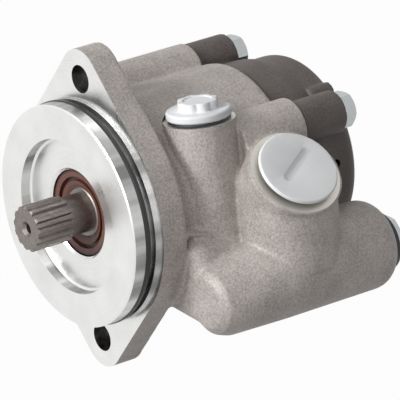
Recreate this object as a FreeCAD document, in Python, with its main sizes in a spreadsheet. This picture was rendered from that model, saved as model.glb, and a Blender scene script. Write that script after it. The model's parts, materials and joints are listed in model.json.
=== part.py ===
import FreeCAD
import Part
import Sketcher
import math
import os

# Power steering pump: a balanced vane pump with a two-bolt flange, a splined drive
# shaft, a flow control valve beside the barrel and plugged pressure and suction ports.
# Shaft axis along Y, drive end towards -Y, flange face in the plane y = 0, ears along Z.
# All lengths are in millimetres and all angles in degrees.

SIZES = {
    # Mounting flange and pilot
    "mount_spacing": 106.4,
    "mount_hole_radius": 5.65,
    "ear_radius": 12.0,
    "flange_radius": 47.5,
    "flange_thickness": 11.0,
    "flange_edge_round": 2.0,
    "pilot_radius": 44.6,
    "pilot_height": 11.5,
    "pilot_chamfer": 0.5,
    "pilot_groove_setback": 3.0,
    "pilot_groove_width": 4.2,
    "pilot_ring_section": 3.6,
    "pilot_ring_proud": 0.5,
    "recess_radius": 31.1,
    "recess_depth": 4.75,
    "recess_corner_round": 1.5,
    # Barrel and pump chamber
    "barrel_radius": 41.4,
    "barrel_rear": 70.0,
    "barrel_chamfer": 1.4,
    "casting_blend": 2.0,
    "chamber_radius": 31.0,
    "chamber_floor": 26.0,
    "pocket_inner_radius": 12.0,
    "pocket_outer_radius": 24.0,
    "pocket_depth": 6,
    # Cover screws
    "screw_circle": 45.9,
    "screw_low_angle": 33.1,
    "screw_high_angle": 132.2,
    "screw_radius": 4.0,
    "screw_reach": 22.0,
    "screw_hole_gap": 0.5,
    "thread_gap": 0.05,
    "screw_head_height": 5.3,
    "screw_head_flats": 13.0,
    "washer_thickness": 1.6,
    "washer_radius": 7.4,
    "housing_boss_radius": 11.0,
    "housing_boss_circle": 43.6,
    "housing_boss_length": 28.0,
    "cover_boss_radius": 8.7,
    "cover_boss_height": 21.0,
    # Rear cover
    "cover_plate_radius": 39.5,
    "cover_dome_radius": 38.0,
    "cover_height": 33.5,
    "cover_edge_round": 6.0,
    "spigot_length": 7.5,
    "spigot_gap": 0.05,
    "spigot_groove_width": 3.0,
    "spigot_ring_section": 2.6,
    "cover_hole_radius": 1.7,
    "cover_hole_depth": 5.0,
    # Drive shaft
    "spline_radius": 9.1,
    "spline_root_radius": 7.9,
    "spline_length": 16.5,
    "spline_teeth": 13.0,
    "shaft_tip": 30.8,
    "seal_journal_radius": 10.0,
    "seal_journal_front": 4.3,
    "shaft_radius": 8.5,
    "rotor_spline_root": 7.6,
    "rotor_spline_radius": 8.4,
    "rotor_spline_teeth": 12.0,
    "rotor_spline_tooth": 2.2,
    "tail_radius": 7.0,
    "tail_length": 17.0,
    "centre_hole_radius": 2.1,
    "centre_hole_depth": 6.0,
    # Shaft seal
    "seal_bore_radius": 17.5,
    "seal_mouth_chamfer": 0.85,
    "seal_front": 5.4,
    "seal_width": 7.0,
    "seal_case_inner": 14.5,
    "seal_lip_outer": 12.8,
    "garter_section": 1.4,
    # Front ball bearing
    "bearing_front": 4.4,
    "bearing_width": 10.0,
    "bearing_ring_wall": 2.6,
    "ball_radius": 2.38,
    "ball_count": 10.0,
    "ball_gap": 0.04,
    "circlip_thickness": 1.2,
    "circlip_seat_depth": 1.0,
    "circlip_depth": 2.4,
    # Vane cartridge
    "plate_thickness": 7.0,
    "cam_width": 20.0,
    "cam_small_radius": 20.9,
    "cam_rise": 2.6,
    "rotor_radius": 20.5,
    "rotor_gap": 0.03,
    "vane_count": 10.0,
    "vane_thickness": 1.5,
    "vane_height": 7.0,
    "vane_tip_gap": 0.15,
    "vane_side_gap": 0.04,
    "vane_stroke": 2.6,
    "kidney_inner": 15.6,
    "kidney_outer": 19.6,
    "kidney_span": 46.0,
    "pin_radius": 2.5,
    "pin_circle": 27.4,
    "pin_overlap": 5.0,
    "spring_washer_thickness": 0.8,
    "bush_wall": 1.6,
    "bush_length": 14.0,
    # Flow control valve
    "valve_x": 57.0,
    "valve_z": -25.6,
    "valve_tube_radius": 18.3,
    "valve_tube_rear": 97.0,
    "valve_front_round": 8.0,
    "valve_rear_round": 8.0,
    "valve_bore_front": 17.5,
    "spool_radius": 8.0,
    "spool_waist": 5.2,
    "spool_length": 34.0,
    "spool_front": 46.0,
    "plug_thread_radius": 10.0,
    "plug_thread_length": 14.0,
    "plug_head_flats": 19.0,
    "plug_head_height": 6.0,
    "plug_ring_section": 2.0,
    "valve_spring_wire": 1.2,
    "valve_spring_radius": 5.6,
    "valve_spring_turns": 8.0,
    # Web between barrel and valve tube
    "web_top_inner_z": -3.0,
    "web_top_outer_x": 50.0,
    "web_top_outer_z": -8.6,
    "web_bottom_inner_x": 28.0,
    "web_bottom_inner_z": -28.0,
    "web_bottom_outer_x": 50.0,
    "web_bottom_outer_z": -42.4,
    "web_front_round": 6.4,
    # Pressure port
    "pressure_x": 32.0,
    "pressure_y": 32.0,
    "pressure_top": 38.0,
    "pressure_tilt": 4.0,
    "pressure_turret_radius": 14.0,
    "pressure_turret_height": 50.0,
    "pressure_port_radius": 8.25,
    "pressure_port_depth": 12.0,
    "pressure_gallery_radius": 1.7,
    "pressure_gallery_setback": 6.6,
    "pressure_gallery_angle": 45.0,
    "pressure_gallery_dip": 3.6,
    "pressure_cap_flange": 12.9,
    "pressure_cap_rim": 2.0,
    "pressure_knob_radius": 7.8,
    "pressure_knob_height": 4.3,
    "knob_lobes": 8.0,
    "lobe_radius": 2.2,
    # Suction port
    "suction_x": 57.0,
    "suction_y": 53.0,
    "suction_elbow_z": 8.9,
    "suction_lean": 42.0,
    "suction_turret_radius": 19.3,
    "suction_neck": 9.3,
    "knuckle_swell": 0.3,
    "neck_foot": 1.2,
    "suction_port_radius": 12.25,
    "suction_port_depth": 15.0,
    "suction_drop_radius": 7.0,
    "suction_cap_flange": 16.1,
    "suction_cap_rim": 1.8,
    "suction_cap_raise": 1.2,
    # Port cap bodies and their rings
    "cap_gap": 0.12,
    "cap_wall": 1.6,
    "cap_plug_length": 8.0,
    "cap_ring_section": 1.8,
    # Fits
    "seat_gap": 0.03,
    "running_gap": 0.05,
}

doc = FreeCAD.newDocument("PowerSteeringPump")
sheet = doc.addObject("Spreadsheet::Sheet", "Sizes")
for row, (alias, number) in enumerate(SIZES.items(), 1):
    sheet.set(f"A{row}", alias)
    sheet.set(f"B{row}", str(number))
    sheet.setAlias(f"B{row}", alias)
doc.recompute()


class Size:
    """A number together with the formula over the sheet that gives it."""

    def __init__(self, number, formula):
        self.number = float(number)
        self.formula = formula

    def __float__(self):
        return self.number

    def __neg__(self):
        return Size(-self.number, f"(-{self.formula})")

    def __add__(self, other):
        other = as_size(other)
        return Size(self.number + other.number, f"({self.formula} + {other.formula})")

    def __radd__(self, other):
        return as_size(other) + self

    def __sub__(self, other):
        other = as_size(other)
        return Size(self.number - other.number, f"({self.formula} - {other.formula})")

    def __rsub__(self, other):
        return as_size(other) - self

    def __mul__(self, other):
        other = as_size(other)
        return Size(self.number * other.number, f"({self.formula} * {other.formula})")

    def __rmul__(self, other):
        return as_size(other) * self

    def __truediv__(self, other):
        other = as_size(other)
        return Size(self.number / other.number, f"({self.formula} / {other.formula})")

    def __rtruediv__(self, other):
        return as_size(other) / self


def as_size(value):
    return value if isinstance(value, Size) else Size(value, repr(float(value)))


def read(alias):
    return Size(sheet.get(alias), f"Sizes.{alias}")


def cosine(angle):
    angle = as_size(angle)
    return Size(math.cos(math.radians(angle.number)), f"cos({angle.formula} * 1deg)")


def sine(angle):
    angle = as_size(angle)
    return Size(math.sin(math.radians(angle.number)), f"sin({angle.formula} * 1deg)")


Vector = FreeCAD.Vector
Rotation = FreeCAD.Rotation
ALONG_Y = Rotation(Vector(1, 0, 0), -90)
UPRIGHT = Rotation()
ORIGIN = (0, 0, 0)
FULL_TURN = 360
OVERRUN = 1.0
RING_SIDES = 12
COIL_STEPS = 16
WIRE_SIDES = 8
CAM_POINTS = 48
CROWN_START = 0.75
CLOSE = 1e-4
d = type("Dimensions", (), {alias: read(alias) for alias in SIZES})


def point(places):
    return Vector(*[float(value) for value in places])


def shifted(base, direction, distance):
    """Place reached from the base by going the distance along the direction."""
    return [value + distance * share for value, share in zip(base, tuple(direction))]


def bind(item, setting, value):
    item.setExpression(setting, as_size(value).formula)


def place(item, base, turn=UPRIGHT):
    item.Placement = FreeCAD.Placement(point(base), turn)
    for axis, value in zip("xyz", base):
        bind(item, f"Placement.Base.{axis}", value)
    return item


# Solids bound to the sheet


def rod(name, radius, length, base, turn=ALONG_Y):
    item = doc.addObject("Part::Cylinder", name)
    bind(item, "Radius", radius)
    bind(item, "Height", length)
    return place(item, base, turn)


def ball(name, radius, base):
    item = doc.addObject("Part::Sphere", name)
    bind(item, "Radius", radius)
    return place(item, base)


def torus(name, section, radius, base, turn=ALONG_Y):
    item = doc.addObject("Part::Torus", name)
    bind(item, "Radius1", radius)
    bind(item, "Radius2", section / 2)
    return place(item, base, turn)


def hexagon(name, flats, height, base):
    item = doc.addObject("Part::Prism", name)
    item.Polygon = 6
    bind(item, "Circumradius", flats / math.sqrt(3))
    bind(item, "Height", height)
    return place(item, base, ALONG_Y)


def fused(name, pieces):
    item = doc.addObject("Part::MultiFuse", name)
    item.Shapes = pieces
    return item


def cut(name, base, tools):
    item = doc.addObject("Part::Cut", name)
    item.Base = base
    item.Tool = tools[0] if len(tools) == 1 else fused(f"{name}_tools", tools)
    return item


def common(name, base, tool):
    item = doc.addObject("Part::Common", name)
    item.Base = base
    item.Tool = tool
    return item


def grouped(name, pieces):
    item = doc.addObject("Part::Compound", name)
    item.Links = pieces
    return item


# Bodies drawn in sketches


def new_body(name):
    body = doc.addObject("PartDesign::Body", name)
    body.Label = name
    return body


def new_sketch(body, name, plane, offset=0):
    sketch = body.newObject("Sketcher::SketchObject", name)
    support = [item for item in body.Origin.OriginFeatures if item.Role == plane][0]
    sketch.AttachmentSupport = [(support, "")]
    sketch.MapMode = "FlatFace"
    bind(sketch, "AttachmentOffset.Base.z", offset)
    return sketch


def hold_point(sketch, geometry, end, across, along):
    for kind, value, axis in (("DistanceX", across, -2), ("DistanceY", along, -1)):
        value = as_size(value)
        if value.formula == repr(0.0):
            sketch.addConstraint(Sketcher.Constraint("PointOnObject", geometry, end, axis))
        else:
            place_held = Sketcher.Constraint(kind, -1, 1, geometry, end, value.number)
            index = sketch.addConstraint(place_held)
            sketch.setExpression(f"Constraints[{index}]", value.formula)


def hold_radius(sketch, geometry, radius):
    radius = as_size(radius)
    index = sketch.addConstraint(Sketcher.Constraint("Radius", geometry, radius.number))
    sketch.setExpression(f"Constraints[{index}]", radius.formula)


def draw_outline(sketch, corners):
    """Closed outline of straight lines through the corners."""
    first = sketch.GeometryCount
    count = len(corners)
    points = [Vector(float(across), float(along), 0) for across, along in corners]
    for index in range(count):
        line = Part.LineSegment(points[index], points[(index + 1) % count])
        sketch.addGeometry(line, False)
    for index in range(count):
        follower = first + (index + 1) % count
        sketch.addConstraint(Sketcher.Constraint("Coincident", first + index, 2, follower, 1))
    for index, (across, along) in enumerate(corners):
        hold_point(sketch, first + index, 1, across, along)


def draw_circle(sketch, radius, across=0, along=0):
    middle = Vector(float(across), float(along), 0)
    index = sketch.addGeometry(Part.Circle(middle, Vector(0, 0, 1), float(radius)), False)
    hold_radius(sketch, index, radius)
    if as_size(across).formula == repr(0.0) and as_size(along).formula == repr(0.0):
        sketch.addConstraint(Sketcher.Constraint("Coincident", index, 3, -1, 1))
    else:
        hold_point(sketch, index, 3, across, along)


def draw_two_eared_plate(sketch, spacing, round_radius, ear_radius):
    """Outline of a round plate drawn out to two ears on the vertical axis."""
    half = float(spacing) / 2
    middle_radius = float(round_radius)
    ear = float(ear_radius)
    lean = math.acos((middle_radius - ear) / half)
    normal = Vector(0, 0, 1)
    spans = []
    right = (math.pi / 2 - lean, math.pi / 2 + lean)
    spans.append((0.0, middle_radius, -right[0], right[0]))
    spans.append((half, ear, right[0], right[1]))
    spans.append((0.0, middle_radius, right[1], math.pi + right[0]))
    spans.append((-half, ear, math.pi + right[0], math.pi + right[1]))
    arcs = []
    for height, radius, start, finish in spans:
        circle = Part.Circle(Vector(0, height, 0), normal, radius)
        arcs.append(sketch.addGeometry(Part.ArcOfCircle(circle, start, finish), False))
    for index, arc in enumerate(arcs):
        follower = arcs[(index + 1) % len(arcs)]
        start = sketch.getPoint(arc, 2)
        finish = sketch.getPoint(follower, 1)
        side = sketch.addGeometry(Part.LineSegment(start, finish), False)
        sketch.addConstraint(Sketcher.Constraint("Tangent", arc, 2, side, 1))
        sketch.addConstraint(Sketcher.Constraint("Tangent", side, 2, follower, 1))
    for arc, radius in zip(arcs, (round_radius, ear_radius, round_radius, ear_radius)):
        hold_radius(sketch, arc, radius)
    for arc, height in zip(arcs, (0, spacing / 2, 0, -(spacing / 2))):
        if as_size(height).formula == repr(0.0):
            sketch.addConstraint(Sketcher.Constraint("Coincident", arc, 3, -1, 1))
        else:
            hold_point(sketch, arc, 3, 0, height)


def pad(body, sketch, length, reverse=False):
    feature = body.newObject("PartDesign::Pad", f"{sketch.Name}_pad")
    feature.Profile = sketch
    bind(feature, "Length", length)
    feature.Reversed = reverse
    return feature


def pocket(body, sketch, depth, reverse=False):
    feature = body.newObject("PartDesign::Pocket", f"{sketch.Name}_pocket")
    feature.Profile = sketch
    bind(feature, "Length", depth)
    feature.Reversed = reverse
    return feature


def pattern(body, feature, sketch, count):
    copies = body.newObject("PartDesign::PolarPattern", f"{feature.Name}_pattern")
    copies.Originals = [feature]
    copies.Axis = (sketch, ["N_Axis"])
    copies.Angle = FULL_TURN
    bind(copies, "Occurrences", count)
    body.Tip = copies
    return copies


def turned(name, corners, base=ORIGIN, turn=UPRIGHT):
    """Body of revolution: each corner is a radius and a place along the Y axis."""
    body = new_body(name)
    sketch = new_sketch(body, f"{name}_profile", "XY_Plane")
    draw_outline(sketch, corners)
    feature = body.newObject("PartDesign::Revolution", f"{name}_turned")
    feature.Profile = sketch
    feature.ReferenceAxis = (sketch, ["V_Axis"])
    feature.Angle = FULL_TURN
    return place(body, base, turn)


def ring(name, section, radius, base, turn=UPRIGHT):
    """Seal ring about the Y axis, its round section drawn with twelve short sides."""
    corners = []
    for side in range(RING_SIDES):
        angle = FULL_TURN / RING_SIDES * (side + 0.5)
        corners.append((radius + section / 2 * cosine(angle), section / 2 * sine(angle)))
    return turned(name, corners, base, turn)


def is_rim(edge, radius, along):
    """Whether an edge is a circle about the Y axis with this radius and place."""
    curve = edge.Curve
    if not isinstance(curve, Part.Circle):
        return False
    return abs(curve.Radius - float(radius)) < CLOSE and abs(curve.Center.y - float(along)) < CLOSE


def soften(body, radius, chosen, kind="PartDesign::Fillet"):
    """Round or chamfer the edges of a body's last feature that the test picks."""
    doc.recompute()
    last = body.Tip
    names = [f"Edge{index}" for index, edge in enumerate(last.Shape.Edges, 1) if chosen(edge)]
    feature = body.newObject(kind, f"{last.Name}_softened")
    feature.Base = (last, names)
    bind(feature, "Size" if kind.endswith("Chamfer") else "Radius", radius)
    return feature


def blended(name, base, radius, chosen):
    """Solid with the fillet where the test picks its edges."""
    doc.recompute()
    edges = enumerate(base.Shape.Edges, 1)
    picked = [index for index, edge in edges if not edge.Degenerated and chosen(edge)]
    item = doc.addObject("Part::Fillet", name)
    item.Base = base
    item.Edges = [(index, float(radius), float(radius)) for index in picked]
    return item


# Places that several pieces share

SCREW_ANGLES = (
    d.screw_low_angle,
    d.screw_high_angle,
    d.screw_low_angle + 180,
    d.screw_high_angle + 180,
)
SCREW_PLACES = [(d.screw_circle * cosine(angle), d.screw_circle * sine(angle)) for angle in SCREW_ANGLES]

front_plate_rear = d.chamber_floor + d.plate_thickness
cam_rear = front_plate_rear + d.cam_width
rear_plate_rear = cam_rear + d.plate_thickness
spigot_front = d.barrel_rear - d.spigot_length
cover_boss_rear = d.barrel_rear + d.cover_boss_height
cover_rear = d.barrel_rear + d.cover_height
screw_seat = cover_boss_rear + d.washer_thickness
bearing_rear = d.bearing_front + d.bearing_width
bearing_pitch = (d.seal_bore_radius + d.shaft_radius) / 2
tail_rear = spigot_front + d.tail_length
spool_rear = d.spool_front + d.spool_length
pin_front = d.chamber_floor + d.plate_thickness - d.pin_overlap
pin_rear = cam_rear + d.pin_overlap
valve_base = (d.valve_x, 0, d.valve_z)

PORT_UP = Rotation(Vector(1, 0, 0), 90)
TILT_AXIS = Vector(0, 1, 0)
pressure_turn = Rotation(TILT_AXIS, -float(d.pressure_tilt))
suction_turn = Rotation(TILT_AXIS, float(d.suction_lean))
pressure_seat = (d.pressure_x, d.pressure_y, d.pressure_top)
suction_seat = (
    d.suction_x + d.suction_neck * sine(d.suction_lean),
    d.suction_y,
    d.suction_elbow_z + d.suction_neck * cosine(d.suction_lean),
)


# Front housing


def flange_plate():
    """Two-eared flange plate with rounded rear edges."""
    body = new_body("flange_plate")
    sketch = new_sketch(body, "flange_outline", "XZ_Plane")
    draw_two_eared_plate(sketch, d.mount_spacing, d.flange_radius, d.ear_radius)
    pad(body, sketch, d.flange_thickness, reverse=True)
    rear = float(d.flange_thickness)
    soften(body, d.flange_edge_round, lambda edge: abs(edge.CenterOfMass.y - rear) < CLOSE)
    return body


def barrel():
    """Pilot, flange core and barrel turned in one piece, with the pilot ring groove."""
    groove_rear = -d.pilot_groove_setback
    groove_front = groove_rear - d.pilot_groove_width
    groove_floor = d.pilot_radius + d.pilot_ring_proud - d.pilot_ring_section - d.seat_gap
    face = -d.pilot_height
    corners = [
        (0, face),
        (d.pilot_radius - d.pilot_chamfer, face),
        (d.pilot_radius, face + d.pilot_chamfer),
        (d.pilot_radius, groove_front),
        (groove_floor, groove_front),
        (groove_floor, groove_rear),
        (d.pilot_radius, groove_rear),
        (d.pilot_radius, d.flange_thickness),
        (d.barrel_radius, d.flange_thickness),
        (d.barrel_radius, d.barrel_rear - d.barrel_chamfer),
        (d.barrel_radius - d.barrel_chamfer, d.barrel_rear),
        (0, d.barrel_rear),
    ]
    return turned("barrel", corners)


def screw_bosses():
    """Bosses for the cover screws; the upper left one runs all the way to the flange."""
    full = d.barrel_rear - d.flange_thickness
    lengths = (d.housing_boss_length, full, d.housing_boss_length, d.housing_boss_length)
    bosses = []
    for index, (angle, length) in enumerate(zip(SCREW_ANGLES, lengths), 1):
        base = (
            d.housing_boss_circle * cosine(angle),
            d.barrel_rear - length,
            d.housing_boss_circle * sine(angle),
        )
        bosses.append(rod(f"housing_boss_{index}", d.housing_boss_radius, length, base))
    return bosses


def valve_tube():
    """Round-ended tube of the flow control valve beside the barrel."""
    front = float(d.flange_thickness)
    rear = float(d.valve_tube_rear)
    corners = [
        (0, d.flange_thickness),
        (d.valve_tube_radius, d.flange_thickness),
        (d.valve_tube_radius, d.valve_tube_rear),
        (0, d.valve_tube_rear),
    ]
    body = turned("valve_tube", corners, valve_base)
    soften(body, d.valve_front_round, lambda edge: is_rim(edge, d.valve_tube_radius, front))
    soften(body, d.valve_rear_round, lambda edge: is_rim(edge, d.valve_tube_radius, rear))
    return body


def web():
    """Solid web that joins the barrel to the valve tube."""
    body = new_body("web")
    sketch = new_sketch(body, "web_outline", "XZ_Plane", -d.flange_thickness)
    corners = [
        (d.web_bottom_inner_x / 2, d.web_top_inner_z),
        (d.barrel_radius - d.flange_edge_round, d.web_top_inner_z),
        (d.web_top_outer_x, d.web_top_outer_z),
        (d.valve_x, d.valve_z - OVERRUN),
        (d.web_bottom_outer_x, d.web_bottom_outer_z),
        (d.web_bottom_inner_x, d.web_bottom_inner_z),
    ]
    draw_outline(sketch, corners)
    pad(body, sketch, d.barrel_rear - d.flange_thickness, reverse=True)
    front = float(d.flange_thickness)
    middle = float(d.valve_x)

    def is_front_shoulder(edge):
        places = [vertex.X for vertex in edge.Vertexes]
        on_front = abs(edge.CenterOfMass.y - front) < CLOSE
        return on_front and min(places) > float(d.web_bottom_inner_x) - 1 and max(places) < middle - 1

    soften(body, d.web_front_round, is_front_shoulder)
    return body


def pressure_turret():
    turret = rod(
        "pressure_turret",
        d.pressure_turret_radius,
        d.pressure_turret_height,
        (
            d.pressure_x + d.pressure_turret_height * sine(d.pressure_tilt),
            d.pressure_y,
            d.pressure_top - d.pressure_turret_height * cosine(d.pressure_tilt),
        ),
        pressure_turn,
    )
    return turret


def suction_elbow():
    """Upright neck from the valve tube, bent at a round elbow to the leaning port."""
    radius = d.suction_turret_radius
    neck = rod(
        "suction_neck",
        radius,
        d.suction_elbow_z - d.valve_z - d.neck_foot,
        (d.suction_x, d.suction_y, d.valve_z + d.neck_foot),
        UPRIGHT,
    )
    knuckle = ball("suction_knuckle", radius + d.knuckle_swell, (d.suction_x, d.suction_y, d.suction_elbow_z))
    mouth = rod(
        "suction_mouth",
        radius,
        d.suction_neck,
        (d.suction_x, d.suction_y, d.suction_elbow_z),
        suction_turn,
    )
    return [neck, knuckle, mouth]


def chamber_tool():
    """Everything turned out on the shaft axis: recess, seal and bearing seats, chamber."""
    floor = d.recess_depth - d.pilot_height
    groove_front = d.bearing_front - d.circlip_thickness - d.seat_gap - d.running_gap
    groove_rear = d.bearing_front - d.running_gap
    groove_radius = d.seal_bore_radius + d.circlip_seat_depth
    shaft_way = d.seal_journal_radius
    corners = [
        (0, -d.pilot_height - OVERRUN),
        (d.recess_radius, -d.pilot_height - OVERRUN),
        (d.recess_radius, floor),
        (d.seal_bore_radius + d.seal_mouth_chamfer, floor),
        (d.seal_bore_radius, floor + d.seal_mouth_chamfer),
        (d.seal_bore_radius, groove_front),
        (groove_radius, groove_front),
        (groove_radius, groove_rear),
        (d.seal_bore_radius, groove_rear),
        (d.seal_bore_radius, bearing_rear),
        (shaft_way, bearing_rear),
        (shaft_way, d.chamber_floor),
        (d.chamber_radius, d.chamber_floor),
        (d.chamber_radius, d.barrel_rear + OVERRUN),
        (0, d.barrel_rear + OVERRUN),
    ]
    body = turned("chamber_tool", corners)
    soften(body, d.recess_corner_round, lambda edge: is_rim(edge, d.recess_radius, floor))
    return body


def pocket_tool():
    front = d.chamber_floor - d.pocket_depth
    rear = d.chamber_floor + OVERRUN
    corners = [
        (d.pocket_inner_radius, front),
        (d.pocket_outer_radius, front),
        (d.pocket_outer_radius, rear),
        (d.pocket_inner_radius, rear),
    ]
    return turned("pressure_pocket_tool", corners)


def valve_bore_tool():
    """Spool bore, plug thread and the plug ring's seat, from the tube's rear face."""
    rear = d.valve_tube_rear
    ring_seat = d.plug_thread_radius + d.plug_ring_section
    corners = [
        (0, d.valve_bore_front),
        (d.spool_radius + d.running_gap, d.valve_bore_front),
        (d.spool_radius + d.running_gap, rear - d.plug_thread_length - OVERRUN),
        (d.plug_thread_radius + d.thread_gap, rear - d.plug_thread_length - OVERRUN),
        (d.plug_thread_radius + d.thread_gap, rear - d.plug_ring_section),
        (ring_seat, rear - d.plug_ring_section),
        (ring_seat, rear + OVERRUN),
        (0, rear + OVERRUN),
    ]
    return turned("valve_bore_tool", corners, valve_base)


def screw_hole_tools():
    depth = d.screw_reach + 2 * OVERRUN
    radius = d.screw_radius + d.thread_gap
    front = d.barrel_rear - depth
    return [
        rod(f"screw_hole_{index}", radius, depth + OVERRUN, (x, front, z))
        for index, (x, z) in enumerate(SCREW_PLACES, 1)
    ]


def mount_hole_tools():
    length = d.flange_thickness + 2 * OVERRUN
    half = d.mount_spacing / 2
    return [
        rod(f"mount_hole_{name}", d.mount_hole_radius, length, (0, -OVERRUN, height))
        for name, height in (("upper", half), ("lower", -half))
    ]


def pressure_port_tools():
    """Port thread from its spot face, and the gallery down to the pressure pocket."""
    port = rod(
        "pressure_port",
        d.pressure_port_radius,
        d.pressure_port_depth + OVERRUN,
        (
            d.pressure_x + d.pressure_port_depth * sine(d.pressure_tilt),
            d.pressure_y,
            d.pressure_top - d.pressure_port_depth * cosine(d.pressure_tilt),
        ),
        pressure_turn,
    )
    face = rod(
        "pressure_spot_face",
        d.pressure_turret_radius + OVERRUN / 2,
        d.pressure_turret_radius,
        pressure_seat,
        pressure_turn,
    )
    pocket_middle = (d.pocket_inner_radius + d.pocket_outer_radius) / 2
    start = (
        d.pressure_x,
        d.pressure_y - d.pressure_gallery_setback,
        d.pressure_top - d.pressure_port_depth + OVERRUN,
    )
    finish = (
        pocket_middle * cosine(d.pressure_gallery_angle),
        d.chamber_floor - d.pressure_gallery_dip,
        pocket_middle * sine(d.pressure_gallery_angle),
    )
    run = point(finish) - point(start)
    turn = Rotation(Vector(0, 0, 1), run)
    gallery = rod("pressure_gallery", d.pressure_gallery_radius, run.Length, start, turn)
    return [port, face, gallery]


def cross_gallery_tools():
    """Bypass and suction gallery at the neck, and the pressure drilling at the valve's front."""
    inward = Vector(-float(d.valve_x), 0, -float(d.valve_z))
    turn = Rotation(Vector(0, 0, 1), inward)
    reach = inward.Length
    suction = rod(
        "suction_gallery",
        d.suction_drop_radius,
        reach - float(d.chamber_radius) + OVERRUN,
        (d.valve_x, d.suction_y, d.valve_z),
        turn,
    )
    pressure = rod(
        "valve_gallery",
        d.pressure_gallery_radius,
        reach - float(d.pocket_outer_radius) + OVERRUN,
        (d.valve_x, d.chamber_floor - d.pocket_depth / 2, d.valve_z),
        turn,
    )
    return [suction, pressure]


def suction_port_tools():
    """Leaning spot face with its port thread, and the drop to the valve bore."""
    depth = d.suction_port_depth
    port = rod(
        "suction_port",
        d.suction_port_radius,
        depth + OVERRUN,
        (
            d.suction_x + (d.suction_neck - depth) * sine(d.suction_lean),
            d.suction_y,
            d.suction_elbow_z + (d.suction_neck - depth) * cosine(d.suction_lean),
        ),
        suction_turn,
    )
    face = rod(
        "suction_spot_face",
        d.suction_turret_radius + OVERRUN,
        d.suction_turret_radius,
        suction_seat,
        suction_turn,
    )
    drop = rod(
        "suction_drop",
        d.suction_drop_radius,
        d.suction_elbow_z - d.valve_z,
        (d.suction_x, d.suction_y, d.valve_z),
        UPRIGHT,
    )
    return [port, face, drop]


def middle_of(edge):
    return edge.valueAt(sum(edge.ParameterRange) / 2)


def is_boss_side(edge):
    """Whether an edge is a cover screw boss's full side on the barrel."""
    middle = middle_of(edge)
    rise = abs(edge.Vertexes[-1].Y - edge.Vertexes[0].Y)
    full = float(d.housing_boss_length - d.barrel_chamfer)
    on_barrel = abs(math.hypot(middle.x, middle.z) - float(d.barrel_radius)) < CLOSE
    return on_barrel and abs(rise - edge.Length) < CLOSE and rise > full - CLOSE


def is_open_flange_rim(edge):
    """Whether an edge is the barrel's rim on the flange, on the side without the valve tube."""
    middle = middle_of(edge)
    on_barrel = abs(math.hypot(middle.x, middle.z) - float(d.barrel_radius)) < CLOSE
    return on_barrel and abs(middle.y - float(d.flange_thickness)) < CLOSE and middle.x < 0


def is_neck_foot(edge):
    """Whether an edge is where the suction neck stands on the valve tube."""
    middle = middle_of(edge)
    from_neck = math.hypot(middle.x - float(d.suction_x), middle.y - float(d.suction_y))
    from_tube = math.hypot(middle.x - float(d.valve_x), middle.z - float(d.valve_z))
    on_neck = abs(from_neck - float(d.suction_turret_radius)) < CLOSE
    return on_neck and abs(from_tube - float(d.valve_tube_radius)) < CLOSE


def front_housing():
    solids = [flange_plate(), barrel(), web(), valve_tube(), pressure_turret()]
    casting = fused("housing_casting", solids + screw_bosses() + suction_elbow())
    casting = blended("neck_blend", casting, d.casting_blend, is_neck_foot)
    casting = blended("flange_blend", casting, d.casting_blend, is_open_flange_rim)
    casting = blended("boss_blends", casting, d.casting_blend, is_boss_side)
    tools = [chamber_tool(), pocket_tool(), valve_bore_tool()]
    tools += screw_hole_tools() + mount_hole_tools()
    tools += pressure_port_tools() + suction_port_tools() + cross_gallery_tools()
    return cut("front_housing", casting, tools)


# Rear cover


def cover_solids():
    """Domed cover with its spigot turned in one, and the four screw bosses."""
    spigot_radius = d.chamber_radius - d.spigot_gap
    groove_rear = d.barrel_rear - OVERRUN - d.seat_gap
    groove_front = groove_rear - d.spigot_groove_width
    groove_floor = spigot_radius - d.spigot_ring_section + d.spigot_gap
    corners = [
        (0, spigot_front),
        (spigot_radius, spigot_front),
        (spigot_radius, groove_front),
        (groove_floor, groove_front),
        (groove_floor, groove_rear),
        (spigot_radius, groove_rear),
        (spigot_radius, d.barrel_rear),
        (d.cover_plate_radius, d.barrel_rear),
        (d.cover_plate_radius, cover_boss_rear - d.cover_edge_round),
        (d.cover_dome_radius, cover_boss_rear),
        (d.cover_dome_radius, cover_rear),
        (0, cover_rear),
    ]
    dome = turned("cover_dome", corners)
    soften(dome, d.cover_edge_round, lambda edge: is_rim(edge, d.cover_dome_radius, cover_rear))
    bosses = []
    for index, (x, z) in enumerate(SCREW_PLACES, 1):
        outline = [
            (0, d.barrel_rear),
            (d.cover_boss_radius, d.barrel_rear),
            (d.cover_boss_radius, cover_boss_rear - OVERRUN),
            (d.cover_boss_radius - OVERRUN, cover_boss_rear),
            (0, cover_boss_rear),
        ]
        bosses.append(turned(f"cover_boss_{index}", outline, (x, 0, z)))
    return [dome] + bosses


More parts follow.
